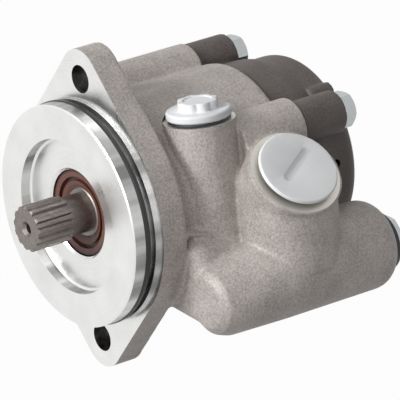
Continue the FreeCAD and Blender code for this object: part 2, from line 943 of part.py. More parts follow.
def cover_tools():
    """Bush seat, screw holes with their spot faces, and the small side hole."""
    bush_seat = rod(
        "bush_seat",
        d.tail_radius + d.running_gap + d.bush_wall + d.seat_gap,
        d.tail_length + 2 * OVERRUN,
        (0, spigot_front - OVERRUN, 0),
    )
    holes = [
        rod(
            f"cover_hole_{index}",
            d.screw_radius + d.screw_hole_gap,
            d.cover_boss_height + 2 * OVERRUN,
            (x, d.barrel_rear - OVERRUN, z),
        )
        for index, (x, z) in enumerate(SCREW_PLACES, 1)
    ]
    side_hole = rod(
        "cover_side_hole",
        d.cover_hole_radius,
        d.cover_hole_depth + OVERRUN,
        (d.cover_dome_radius - d.cover_hole_depth, cover_boss_rear + OVERRUN, 2 * d.cover_hole_radius),
        Rotation(Vector(0, 1, 0), 90),
    )
    spot_faces = [
        rod(
            f"screw_spot_face_{index}",
            d.washer_radius + d.screw_hole_gap / 2,
            d.cover_height - d.cover_boss_height + OVERRUN,
            (x, cover_boss_rear, z),
        )
        for index, (x, z) in enumerate(SCREW_PLACES, 1)
    ]
    return [bush_seat, side_hole] + holes + spot_faces


def rear_cover():
    return cut("rear_cover", fused("cover_casting", cover_solids()), cover_tools())


def screw_head(name, flats, height, base):
    """Hexagon head with the usual chamfered crown."""
    corner = flats / math.sqrt(3)
    crown = [
        (0, 0),
        (corner + OVERRUN, 0),
        (corner + OVERRUN, height * CROWN_START),
        (flats / 2, height),
        (0, height),
    ]
    return common(name, hexagon(f"{name}_prism", flats, height, base), turned(f"{name}_crown", crown, base))


def cover_bolts():
    bolts = []
    for index, (x, z) in enumerate(SCREW_PLACES, 1):
        length = screw_seat - d.barrel_rear + d.screw_reach
        shank = rod(f"bolt_shank_{index}", d.screw_radius, length, (x, screw_seat - length, z))
        head = screw_head(f"bolt_head_{index}", d.screw_head_flats, d.screw_head_height, (x, screw_seat, z))
        bolts.append(fused(f"cover_bolt_{index}", [shank, head]))
    return grouped("cover_bolts", bolts)


def cover_bolt_washers():
    washers = []
    bore = d.screw_radius + d.screw_hole_gap / 2
    for index, (x, z) in enumerate(SCREW_PLACES, 1):
        outline = [
            (bore, cover_boss_rear),
            (d.washer_radius, cover_boss_rear),
            (d.washer_radius, screw_seat),
            (bore, screw_seat),
        ]
        washers.append(turned(f"bolt_washer_{index}", outline, (x, 0, z)))
    return grouped("cover_bolt_washers", washers)


# Drive shaft and its bearings


def drive_shaft():
    """Stepped shaft: outer spline, neck, seal journal, bearing seat, rotor spline, tail."""
    tip = -d.shaft_tip
    spline_rear = tip + d.spline_length
    journal_front = -d.seal_journal_front
    clip_front = bearing_rear + d.seat_gap
    clip_rear = clip_front + d.circlip_thickness + d.seat_gap
    clip_floor = d.shaft_radius - d.circlip_seat_depth
    rotor_front = front_plate_rear + d.rotor_gap
    tail_front = spigot_front - OVERRUN
    body = new_body("drive_shaft")
    sketch = new_sketch(body, "shaft_profile", "XY_Plane")
    corners = [
        (0, tip),
        (d.spline_root_radius, tip),
        (d.spline_root_radius, journal_front),
        (d.seal_journal_radius - OVERRUN / 2, journal_front),
        (d.seal_journal_radius, journal_front + OVERRUN / 2),
        (d.seal_journal_radius, d.bearing_front),
        (d.shaft_radius, d.bearing_front),
        (d.shaft_radius, clip_front),
        (clip_floor, clip_front),
        (clip_floor, clip_rear),
        (d.shaft_radius, clip_rear),
        (d.shaft_radius, front_plate_rear - OVERRUN),
        (d.rotor_spline_root, front_plate_rear - OVERRUN),
        (d.rotor_spline_root, cam_rear + OVERRUN),
        (d.tail_radius, cam_rear + 2 * OVERRUN),
        (d.tail_radius, tail_rear - OVERRUN),
        (d.tail_radius - OVERRUN, tail_rear),
        (0, tail_rear),
    ]
    draw_outline(sketch, corners)
    blank = body.newObject("PartDesign::Revolution", "shaft_blank")
    blank.Profile = sketch
    blank.ReferenceAxis = (sketch, ["V_Axis"])
    blank.Angle = FULL_TURN
    doc.recompute()
    add_outer_spline(body, spline_rear)
    add_rotor_spline(body, rotor_front)
    add_centre_hole(body, tip)
    return body


def add_outer_spline(body, spline_rear):
    """Tapered teeth on the drive end, pointed at the tip by a chamfer."""
    tooth = new_sketch(body, "spline_tooth", "XZ_Plane", -spline_rear)
    pitch = 2 * math.pi * d.spline_radius / d.spline_teeth
    half_foot = pitch / 3
    half_crest = pitch / 7
    inner = d.spline_root_radius - OVERRUN
    corners = [
        (-half_foot, inner),
        (half_foot, inner),
        (half_crest, d.spline_radius),
        (-half_crest, d.spline_radius),
    ]
    draw_outline(tooth, corners)
    feature = pad(body, tooth, d.spline_length)
    doc.recompute()
    pattern(body, feature, tooth, d.spline_teeth)
    doc.recompute()
    trim = new_sketch(body, "spline_chamfer", "XY_Plane")
    tip = -d.shaft_tip
    outside = d.spline_radius + OVERRUN
    front = tip - OVERRUN / 2
    draw_outline(trim, [(d.spline_root_radius - OVERRUN / 2, front), (outside, front), (outside, tip + OVERRUN)])
    groove = body.newObject("PartDesign::Groove", "spline_point")
    groove.Profile = trim
    groove.ReferenceAxis = (trim, ["V_Axis"])
    groove.Angle = FULL_TURN


def add_rotor_spline(body, rotor_front):
    """Straight-sided teeth that carry the rotor."""
    tooth = new_sketch(body, "rotor_spline_tooth_profile", "XZ_Plane", -rotor_front - d.cam_width)
    half = d.rotor_spline_tooth / 2
    inner = d.rotor_spline_root - OVERRUN
    outer = d.rotor_spline_radius
    draw_outline(tooth, [(-half, inner), (half, inner), (half, outer), (-half, outer)])
    feature = pad(body, tooth, d.cam_width)
    doc.recompute()
    pattern(body, feature, tooth, d.rotor_spline_teeth)
    doc.recompute()


def add_centre_hole(body, tip):
    profile = new_sketch(body, "centre_hole_profile", "XY_Plane")
    mouth = d.centre_hole_radius + OVERRUN
    corners = [
        (0, tip - OVERRUN),
        (mouth, tip - OVERRUN),
        (mouth, tip),
        (d.centre_hole_radius, tip + OVERRUN * 1.5),
        (d.centre_hole_radius, tip + d.centre_hole_depth),
        (0, tip + d.centre_hole_depth + d.centre_hole_radius / 2),
    ]
    draw_outline(profile, corners)
    hole = body.newObject("PartDesign::Groove", "centre_hole")
    hole.Profile = profile
    hole.ReferenceAxis = (profile, ["V_Axis"])
    hole.Angle = FULL_TURN


def shaft_seal():
    """Lip seal: rubber-covered case with a sprung lip that bears on the journal."""
    front = -d.seal_front
    rear = front + d.seal_width
    outer = d.seal_bore_radius - d.seat_gap
    web_rear = front + d.seal_width / 2
    web_front = front + d.seal_width / 4
    lip = d.seal_journal_radius + d.running_gap
    corners = [
        (lip, front + d.seal_width / 5),
        (d.seal_lip_outer, front + OVERRUN / 2),
        (d.seal_lip_outer, web_front),
        (d.seal_case_inner, web_front),
        (d.seal_case_inner, front + OVERRUN / 4),
        (outer - OVERRUN / 2, front),
        (outer, front + OVERRUN / 2),
        (outer, rear),
        (d.seal_case_inner, rear),
        (d.seal_case_inner, web_rear),
        (d.seal_lip_outer, web_rear),
        (d.seal_journal_radius + d.garter_section, rear - d.garter_section),
        (lip + OVERRUN / 4, rear - d.garter_section),
    ]
    return turned("shaft_seal", corners)


def seal_garter_spring():
    rear = d.seal_width - d.seal_front
    radius = d.seal_lip_outer + d.garter_section / 2 + d.seat_gap
    return ring("seal_garter_spring", d.garter_section, radius, (0, rear - d.garter_section, 0))


def tube(name, inner, outer, front, rear):
    """Plain tube about the Y axis."""
    return turned(name, [(inner, front), (outer, front), (outer, rear), (inner, rear)])


def bearing_ring(name, inner, outer):
    """Bearing ring with the ball track turned into the side that faces the balls."""
    blank = tube(f"{name}_blank", inner, outer, d.bearing_front, bearing_rear)
    middle = d.bearing_front + d.bearing_width / 2
    track = torus(f"{name}_track", 2 * (d.ball_radius + d.ball_gap), bearing_pitch, (0, middle, 0))
    return cut(name, blank, [track])


def bearing_balls():
    balls = []
    middle = d.bearing_front + d.bearing_width / 2
    for index in range(int(float(d.ball_count))):
        angle = FULL_TURN / d.ball_count * index
        base = (bearing_pitch * cosine(angle), middle, bearing_pitch * sine(angle))
        balls.append(ball(f"bearing_ball_{index + 1}", d.ball_radius, base))
    return grouped("bearing_balls", balls)


def bearing_cage():
    """Ribbon cage: a ring with a pocket for each ball."""
    middle = d.bearing_front + d.bearing_width / 2
    half_width = d.ball_radius + OVERRUN / 2
    half_wall = d.ball_radius / 3
    inner = bearing_pitch - half_wall
    outer = bearing_pitch + half_wall
    blank = tube("cage_blank", inner, outer, middle - half_width, middle + half_width)
    radius = d.ball_radius + d.ball_gap
    pockets = []
    for index in range(int(float(d.ball_count))):
        angle = FULL_TURN / d.ball_count * index
        outward = Rotation(Vector(0, 0, 1), point((cosine(angle), 0, sine(angle))))
        pockets.append(rod(f"cage_pocket_{index + 1}", radius, d.seal_bore_radius, (0, middle, 0), outward))
    return cut("bearing_cage", blank, pockets)


def open_ring(name, inner, outer, front, thickness):
    """Spring clip ring with a gap on its upper side."""
    blank = tube(f"{name}_blank", inner, outer, front, front + thickness)
    gap = doc.addObject("Part::Box", f"{name}_gap")
    width = outer / 3
    bind(gap, "Length", width)
    bind(gap, "Width", thickness + 2 * OVERRUN)
    bind(gap, "Height", outer + OVERRUN)
    place(gap, (-width / 2, front - OVERRUN, 0))
    return cut(name, blank, [gap])


def bearing_circlip():
    outer = d.seal_bore_radius + d.circlip_seat_depth - d.seat_gap
    front = d.bearing_front - d.circlip_thickness - d.running_gap - d.seat_gap / 2
    return open_ring("bearing_circlip", outer - d.circlip_depth, outer, front, d.circlip_thickness)


def shaft_circlip():
    inner = d.shaft_radius - d.circlip_seat_depth + d.seat_gap
    front = bearing_rear + 1.5 * d.seat_gap
    return open_ring("shaft_circlip", inner, inner + d.circlip_depth, front, d.circlip_thickness)


def rear_bush():
    inner = d.tail_radius + d.running_gap
    outer = inner + d.bush_wall
    front = spigot_front + OVERRUN
    return tube("rear_bush", inner, outer, front, front + d.bush_length)


# Vane cartridge


def rotor():
    """Rotor disc with radial vane slots and a splined bore."""
    front = front_plate_rear + d.rotor_gap
    width = d.cam_width - 2 * d.rotor_gap
    body = new_body("rotor")
    disc = new_sketch(body, "rotor_disc", "XZ_Plane", -front)
    draw_circle(disc, d.rotor_radius)
    draw_circle(disc, d.rotor_spline_root + d.running_gap)
    pad(body, disc, width, reverse=True)
    doc.recompute()
    slot = new_sketch(body, "vane_slot", "XZ_Plane", -front)
    half = d.vane_thickness / 2 + d.vane_side_gap
    floor = slot_floor()
    rim = d.rotor_radius + OVERRUN
    draw_outline(slot, [(-half, floor), (half, floor), (half, rim), (-half, rim)])
    slots = pocket(body, slot, width)
    doc.recompute()
    pattern(body, slots, slot, d.vane_count)
    doc.recompute()
    foot = new_sketch(body, "slot_foot", "XZ_Plane", -front)
    draw_circle(foot, d.vane_thickness, 0, floor)
    feet = pocket(body, foot, width)
    doc.recompute()
    pattern(body, feet, foot, d.vane_count)
    doc.recompute()
    groove = new_sketch(body, "rotor_spline_gap", "XZ_Plane", -front)
    side = d.rotor_spline_tooth / 2 + d.running_gap
    inner = d.rotor_spline_root - OVERRUN
    outer = d.rotor_spline_radius + d.running_gap
    draw_outline(groove, [(-side, inner), (side, inner), (side, outer), (-side, outer)])
    grooves = pocket(body, groove, width)
    doc.recompute()
    pattern(body, grooves, groove, d.rotor_spline_teeth)
    return body


def slot_floor():
    """Slot depth that lets a vane sink by its stroke and still clear the floor."""
    return d.cam_small_radius - d.vane_tip_gap - d.vane_height - d.vane_stroke - 2 * d.vane_side_gap


def vane(index):
    """Vane with a rounded tip, in its slot at the cam's small radius."""
    angle = FULL_TURN / d.vane_count * index
    tip = d.cam_small_radius - d.vane_tip_gap
    width = d.cam_width - 4 * d.rotor_gap
    body = new_body(f"vane_{index + 1}")
    sketch = new_sketch(body, f"vane_{index + 1}_outline", "XZ_Plane", -front_plate_rear - 2 * d.rotor_gap)
    half = d.vane_thickness / 2
    crown = half / 2
    corners = [
        (-half, tip - d.vane_height),
        (half, tip - d.vane_height),
        (half, tip - crown),
        (half - crown, tip),
        (crown - half, tip),
        (-half, tip - crown),
    ]
    draw_outline(sketch, corners)
    pad(body, sketch, width, reverse=True)
    body.Placement = FreeCAD.Placement(Vector(), Rotation(Vector(0, 1, 0), angle.number))
    bind(body, "Placement.Rotation.Angle", angle * Size(1, "1deg"))
    return body


def cam_ring():
    """Ring with the two-lobed bore of a balanced pump, smooth from small to large radius."""
    points = []
    for index in range(CAM_POINTS):
        angle = 2 * math.pi * index / CAM_POINTS
        radius = float(d.cam_small_radius) + float(d.cam_rise) * (1 - math.cos(2 * angle)) / 2
        points.append(Vector(radius * math.cos(angle), float(front_plate_rear), radius * math.sin(angle)))
    curve = Part.BSplineCurve()
    curve.interpolate(points, True)
    lobes = Part.Face(Part.Wire(curve.toShape()))
    along = Vector(0, 1, 0)
    start = Vector(0, float(front_plate_rear), 0)
    outside = Part.makeCylinder(float(d.chamber_radius - d.spigot_gap), float(d.cam_width), start, along)
    shape = outside.cut(lobes.extrude(along * float(d.cam_width)))
    for middle in pin_middles():
        base = Vector(float(middle[0]), float(front_plate_rear), float(middle[1]))
        hole = Part.makeCylinder(float(d.pin_radius + d.seat_gap), float(d.cam_width), base, along)
        shape = shape.cut(hole)
    item = doc.addObject("Part::Feature", "cam_ring")
    item.Shape = shape
    return item


def pin_middles():
    """The two dowel pins stand opposite each other at the cam's small radius."""
    return ((d.pin_circle, as_size(0)), (-d.pin_circle, as_size(0)))


def kidney_outline(sketch, inner, outer, span, middle):
    """Curved slot about the shaft axis, drawn as two arcs and two straight ends."""
    half = math.radians(float(span) / 2)
    turn = math.radians(middle)
    normal = Vector(0, 0, 1)
    arcs = []
    for radius in (inner, outer):
        circle = Part.Circle(Vector(), normal, float(radius))
        arcs.append(sketch.addGeometry(Part.ArcOfCircle(circle, turn - half, turn + half), False))
    for end in (1, 2):
        line = Part.LineSegment(sketch.getPoint(arcs[0], end), sketch.getPoint(arcs[1], end))
        side = sketch.addGeometry(line, False)
        sketch.addConstraint(Sketcher.Constraint("Coincident", side, 1, arcs[0], end))
        sketch.addConstraint(Sketcher.Constraint("Coincident", side, 2, arcs[1], end))
        sketch.addConstraint(Sketcher.Constraint("PointOnObject", -1, 1, side))
        line_angle = turn + (half if end == 2 else -half)
        sketch.addConstraint(Sketcher.Constraint("Angle", -1, 1, side, 1, line_angle))
    for arc, radius in zip(arcs, (inner, outer)):
        sketch.addConstraint(Sketcher.Constraint("Coincident", arc, 3, -1, 1))
        hold_radius(sketch, arc, radius)


def side_plate(name, front, kidney_turns):
    """Side plate with the shaft hole, two kidney ports, two rim vents and two pin holes."""
    body = new_body(name)
    disc = new_sketch(body, f"{name}_disc", "XZ_Plane", -front)
    draw_circle(disc, d.chamber_radius - d.spigot_gap)
    draw_circle(disc, d.seal_journal_radius)
    pad(body, disc, d.plate_thickness, reverse=True)
    doc.recompute()
    for index, turn in enumerate(kidney_turns, 1):
        kidney = new_sketch(body, f"{name}_kidney_{index}", "XZ_Plane", -front)
        kidney_outline(kidney, d.kidney_inner, d.kidney_outer, d.kidney_span, turn)
        pocket(body, kidney, d.plate_thickness)
        doc.recompute()
    for index, (x, z) in enumerate(pin_middles(), 1):
        hole = new_sketch(body, f"{name}_pin_hole_{index}", "XZ_Plane", -front)
        draw_circle(hole, d.pin_radius + d.seat_gap, x, 0)
        pocket(body, hole, d.plate_thickness)
        doc.recompute()
    return body


def dowel_pins():
    pins = []
    length = pin_rear - pin_front
    for index, (x, z) in enumerate(pin_middles(), 1):
        pins.append(rod(f"dowel_pin_{index}", d.pin_radius, length, (x, pin_front, z)))
    return grouped("dowel_pins", pins)


def plate_spring():
    """Cone washer that holds the cartridge together against the cover."""
    front = rear_plate_rear
    rear = spigot_front
    inner = d.seal_journal_radius + 2 * OVERRUN
    outer = d.chamber_radius - 4 * OVERRUN
    wall = d.spring_washer_thickness
    corners = [
        (inner, front),
        (inner + wall, front),
        (outer, rear - wall),
        (outer, rear),
        (outer - wall, rear),
        (inner, front + wall),
    ]
    return turned("plate_spring", corners)


# Flow control valve


def valve_spool():
    """Two-land spool with pressure grooves and a spring bore at its front."""
    front = d.spool_front
    rear = spool_rear
    land = d.spool_length / 3
    waist = d.spool_waist
    bore = d.valve_spring_radius + d.valve_spring_wire
    corners = [
        (0, front + land / 2),
        (bore, front + land / 2),
        (bore, front),
        (d.spool_radius, front),
        (d.spool_radius, front + land),
        (waist, front + land + OVERRUN),
        (waist, rear - land - OVERRUN),
        (d.spool_radius, rear - land),
        (d.spool_radius, rear - OVERRUN),
        (waist, rear),
        (0, rear),
    ]
    return turned("valve_spool", corners, valve_base)


def valve_spring():
    """Coil spring from the bore's front end to the spool."""
    wire = float(d.valve_spring_wire) / 2
    radius = float(d.valve_spring_radius)
    start = float(d.valve_bore_front) + wire
    finish = float(d.spool_front + d.spool_length / 6) - wire
    length = finish - start
    steps = int(float(d.valve_spring_turns) * COIL_STEPS)
    path = []
    for step in range(steps + 1):
        angle = 2 * math.pi * step / COIL_STEPS
        path.append(Vector(radius * math.cos(angle), radius * math.sin(angle), length * step / steps))
    rim = []
    for side in range(WIRE_SIDES + 1):
        angle = 2 * math.pi * side / WIRE_SIDES
        rim.append(Vector(radius + wire * math.cos(angle), 0, wire * math.sin(angle)))
    coil = Part.makePolygon(path).makePipeShell([Part.makePolygon(rim)], True, False, 1)
    item = doc.addObject("Part::Feature", "valve_spring")
    item.Shape = coil
    return place(item, (d.valve_x, start, d.valve_z), ALONG_Y)


def valve_plug():
    """Hexagon screw plug with a stop that the spool rests against."""
    rear = d.valve_tube_rear
    front = rear - d.plug_thread_length
    stop = spool_rear
    stop_radius = d.spool_radius / 2
    corners = [
        (0, stop),
        (stop_radius, stop),
        (stop_radius, front),
        (d.plug_thread_radius - OVERRUN, front),
        (d.plug_thread_radius, front + OVERRUN),
        (d.plug_thread_radius, rear),
        (0, rear),
    ]
    stem = turned("plug_stem", corners, valve_base)
    head = screw_head("plug_head", d.plug_head_flats, d.plug_head_height, (d.valve_x, rear, d.valve_z))
    return fused("valve_plug", [stem, head])


def valve_plug_ring():
    """Square-section seal ring in its seat under the plug's head."""
    rear = d.valve_tube_rear - d.seat_gap
    inner = d.plug_thread_radius + d.seat_gap
    outer = d.plug_thread_radius + d.plug_ring_section - d.seat_gap
    front = d.valve_tube_rear - d.plug_ring_section + d.seat_gap
    corners = [(inner, front), (outer, front), (outer, rear), (inner, rear)]
    return turned("valve_plug_ring", corners, valve_base)


# Port caps


def lay_up(turn):
    """Turn a piece drawn along Y so that it stands along the port."""
    return turn.multiply(PORT_UP)


def pressure_port_cap():
    """Plastic plug with a thin flange and a lobed knob."""
    plug = d.pressure_port_radius - d.cap_gap
    rim = d.pressure_cap_rim
    lift = d.cap_ring_section - d.seat_gap
    corners = [
        (plug - d.cap_wall, -d.cap_plug_length),
        (plug, -d.cap_plug_length),
        (plug, lift),
        (d.pressure_cap_flange - OVERRUN / 2, lift),
        (d.pressure_cap_flange, lift + OVERRUN / 2),
        (d.pressure_cap_flange, lift + rim - OVERRUN / 2),
        (d.pressure_cap_flange - OVERRUN / 2, lift + rim),
        (0, lift + rim),
        (0, lift),
        (plug - d.cap_wall, lift),
    ]
    body = turned("pressure_cap_disc", corners, pressure_seat, lay_up(pressure_turn))
    knob_parts = [knob_core(lift + rim)]
    knob_parts += knob_lobes(lift + rim)
    return fused("pressure_port_cap", [body] + knob_parts)


def knob_core(start):
    corners = [
        (0, start - OVERRUN / 2),
        (d.pressure_knob_radius - d.lobe_radius / 2, start - OVERRUN / 2),
        (d.pressure_knob_radius - d.lobe_radius / 2, start + d.pressure_knob_height - OVERRUN / 2),
        (d.pressure_knob_radius - d.lobe_radius / 2 - OVERRUN / 2, start + d.pressure_knob_height),
        (0, start + d.pressure_knob_height),
    ]
    return turned("knob_core", corners, pressure_seat, lay_up(pressure_turn))


def knob_lobes(start):
    """Rounded grip lobes round the knob."""
    lobes = []
    foot = shifted(pressure_seat, pressure_turn.multVec(Vector(0, 0, 1)), start - OVERRUN / 2)
    for index in range(int(float(d.knob_lobes))):
        angle = 2 * math.pi * index / float(d.knob_lobes)
        outward = pressure_turn.multVec(Vector(math.cos(angle), math.sin(angle), 0))
        base = shifted(foot, outward, d.pressure_knob_radius - d.lobe_radius)
        lobe = rod(f"knob_lobe_{index + 1}", d.lobe_radius, d.pressure_knob_height, base, pressure_turn)
        lobes.append(lobe)
    return lobes


def suction_port_cap():
    """Translucent plug with a shallow dished face and a bar across it."""
    plug = d.suction_port_radius - d.cap_gap
    lift = d.cap_ring_section - d.seat_gap
    rim = d.suction_cap_rim
    dish = plug - d.cap_wall
    corners = [
        (dish, -d.cap_plug_length),
        (plug, -d.cap_plug_length),
        (plug, lift),
        (d.suction_cap_flange - OVERRUN / 2, lift),
        (d.suction_cap_flange, lift + OVERRUN / 2),
        (d.suction_cap_flange, lift + rim - OVERRUN / 2),
        (d.suction_cap_flange - OVERRUN / 2, lift + rim),
        (dish, lift + rim),
        (dish - OVERRUN, lift + rim - d.suction_cap_raise),
        (0, lift + rim - d.suction_cap_raise),
        (0, lift - d.suction_cap_raise),
        (dish, lift - d.suction_cap_raise),
    ]
    return turned("suction_port_cap", corners, suction_seat, lay_up(suction_turn))


def cap_ring(name, port_radius, seat, turn):
    """Seal ring between a cap's flange and the port's spot face."""
    section = d.cap_ring_section - 2 * d.seat_gap
    radius = port_radius + d.cap_ring_section / 2 + d.seat_gap
    base = shifted(seat, turn.multVec(Vector(0, 0, 1)), d.cap_ring_section / 2)
    return ring(name, section, radius, base, lay_up(turn))


# Assembly

nodes = {
    "front_housing": front_housing(),
    "rear_cover": rear_cover(),
    "cover_bolts": cover_bolts(),
    "cover_bolt_washers": cover_bolt_washers(),
    "pilot_o_ring": ring(
        "pilot_o_ring",
        d.pilot_ring_section,
        d.pilot_radius + d.pilot_ring_proud - d.pilot_ring_section / 2,
        (0, -d.pilot_groove_setback - d.pilot_groove_width / 2, 0),
    ),
    "cover_o_ring": ring(
        "cover_o_ring",
        d.spigot_ring_section - 2 * d.seat_gap,
        d.chamber_radius - d.spigot_ring_section / 2,
        (0, d.barrel_rear - OVERRUN - d.seat_gap - d.spigot_groove_width / 2, 0),
    ),
    "drive_shaft": drive_shaft(),
    "shaft_seal": shaft_seal(),
    "seal_garter_spring": seal_garter_spring(),
    "bearing_outer_ring": bearing_ring(
        "bearing_outer_ring",
        d.seal_bore_radius - d.seat_gap - d.bearing_ring_wall,
        d.seal_bore_radius - d.seat_gap,
    ),
    "bearing_inner_ring": bearing_ring(
        "bearing_inner_ring",
        d.shaft_radius + d.seat_gap,
        d.shaft_radius + d.seat_gap + d.bearing_ring_wall,
    ),
    "bearing_balls": bearing_balls(),
    "bearing_cage": bearing_cage(),
    "bearing_circlip": bearing_circlip(),
    "shaft_circlip": shaft_circlip(),
    "rear_bush": rear_bush(),
    "rotor": rotor(),
    "cam_ring": cam_ring(),
    "front_side_plate": side_plate("front_side_plate", d.chamber_floor, (135, 315)),
    "rear_side_plate": side_plate("rear_side_plate", cam_rear, (45, 225)),
    "dowel_pins": dowel_pins(),
    "plate_spring": plate_spring(),
    "valve_spool": valve_spool(),
    "valve_spring": valve_spring(),
    "valve_plug": valve_plug(),
    "valve_plug_ring": valve_plug_ring(),
    "pressure_port_cap": pressure_port_cap(),
    "pressure_cap_ring": cap_ring("pressure_cap_ring", d.pressure_port_radius, pressure_seat, pressure_turn),
    "suction_port_cap": suction_port_cap(),
    "suction_cap_ring": cap_ring("suction_cap_ring", d.suction_port_radius, suction_seat, suction_turn),
}
for index in range(int(float(d.vane_count))):
    nodes[f"vane_{index + 1}"] = vane(index)

doc.recompute()

faults = [item.Name for item in doc.Objects if "Invalid" in item.State or "Error" in item.State]
faults += [name for name, item in nodes.items() if item.Shape.isNull() or not item.Shape.isValid()]
if faults:
    raise RuntimeError("failed objects: " + ", ".join(faults))

os.makedirs("parts", exist_ok=True)
for name, item in nodes.items():
    item.Label = name
    item.Shape.exportStep(f"parts/{name}.step")
    print(name, "solids", len(item.Shape.Solids), "volume", round(item.Shape.Volume, 1))
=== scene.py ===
import json
import math

import bpy
from bpy.props import FloatProperty, FloatVectorProperty, IntProperty, PointerProperty
from bpy.types import Operator, Panel, PropertyGroup
from mathutils import Matrix, Vector

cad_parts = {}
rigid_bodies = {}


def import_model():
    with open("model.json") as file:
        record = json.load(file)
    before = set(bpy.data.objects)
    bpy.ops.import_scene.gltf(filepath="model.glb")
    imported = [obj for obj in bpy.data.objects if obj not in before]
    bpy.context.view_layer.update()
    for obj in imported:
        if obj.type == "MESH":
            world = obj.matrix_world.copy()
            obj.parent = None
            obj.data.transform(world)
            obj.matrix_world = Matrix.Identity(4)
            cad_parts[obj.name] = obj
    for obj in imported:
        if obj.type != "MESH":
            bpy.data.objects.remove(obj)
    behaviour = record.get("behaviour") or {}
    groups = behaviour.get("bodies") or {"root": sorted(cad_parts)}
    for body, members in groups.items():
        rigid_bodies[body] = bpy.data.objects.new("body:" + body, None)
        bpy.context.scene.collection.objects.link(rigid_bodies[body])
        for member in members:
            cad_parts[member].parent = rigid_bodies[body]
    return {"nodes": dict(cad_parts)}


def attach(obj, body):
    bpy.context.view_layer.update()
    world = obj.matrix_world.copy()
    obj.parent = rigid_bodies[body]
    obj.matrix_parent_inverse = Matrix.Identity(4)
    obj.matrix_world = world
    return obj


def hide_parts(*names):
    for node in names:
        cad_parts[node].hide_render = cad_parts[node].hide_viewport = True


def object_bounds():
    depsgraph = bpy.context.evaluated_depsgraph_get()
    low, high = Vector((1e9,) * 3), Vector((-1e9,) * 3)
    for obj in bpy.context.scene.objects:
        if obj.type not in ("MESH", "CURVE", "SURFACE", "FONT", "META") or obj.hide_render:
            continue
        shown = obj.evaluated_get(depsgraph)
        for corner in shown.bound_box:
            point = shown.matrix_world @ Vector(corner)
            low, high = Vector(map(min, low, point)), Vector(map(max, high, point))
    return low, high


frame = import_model()
cad_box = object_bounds()

bl_info = {
    "name": "Power steering pump",
    "version": (1, 0, 0),
    "blender": (4, 5, 0),
    "location": "View3D > Sidebar > Pump",
    "description": "Castings, machined faces, caps and finishes of a power steering pump",
    "category": "Object",
}

MM = 0.001
# The shaft runs along Y with its splines towards -Y, the flange's face is at y = 0 and the ears lie along Z
ALONG_SHAFT = Vector((0, 1, 0))
# Inner and outer radius of each darker ring on the shaft seal, painted shade in place of the gaps between its
# lips, in millimetres
SEAL_RINGS = ((10.6, 10.9), (12.9, 14.2), (16.5, 17.4))
# Steps of the tube's rounded nose: how much smaller it is, and where it starts and ends behind its tip, in mm
NOSE_STEPS = ((4.5, 0, 1), (1.5, 2.5, 3.5), (0, 7, 8))
# Places of the seam round the neck: turn in degrees, height in millimetres
SEAM_PLACES = ((-128, -10.0), (-104, -11.6), (-80, -13.8), (-60, -16.6), (-44, -19.6))
# Each lamp: its name, the setting that holds its power, its size and its direction from the pump
LAMPS = (
    ("key_lamp", "key_power", 0.45, (-0.1, -1.0, 0.65)),
    ("fill_lamp", "fill_power", 0.7, (0.75, -1.0, 0.55)),
    ("rim_lamp", "rim_power", 0.8, (-0.3, 0.4, 1.0)),
)


# Sizes and colours

def length(label, millimetres, words):
    """A size given in millimetres and kept in metres."""
    return FloatProperty(name=label, description=words, default=millimetres * MM, unit="LENGTH", precision=5)


def angle(label, degrees, words):
    """A turn given in degrees."""
    return FloatProperty(name=label, description=words, default=math.radians(degrees), subtype="ANGLE")


def colour(label, rgb, words):
    """A colour in linear light."""
    return FloatVectorProperty(
        name=label, description=words, default=rgb, size=3, subtype="COLOR", min=0, max=1
    )


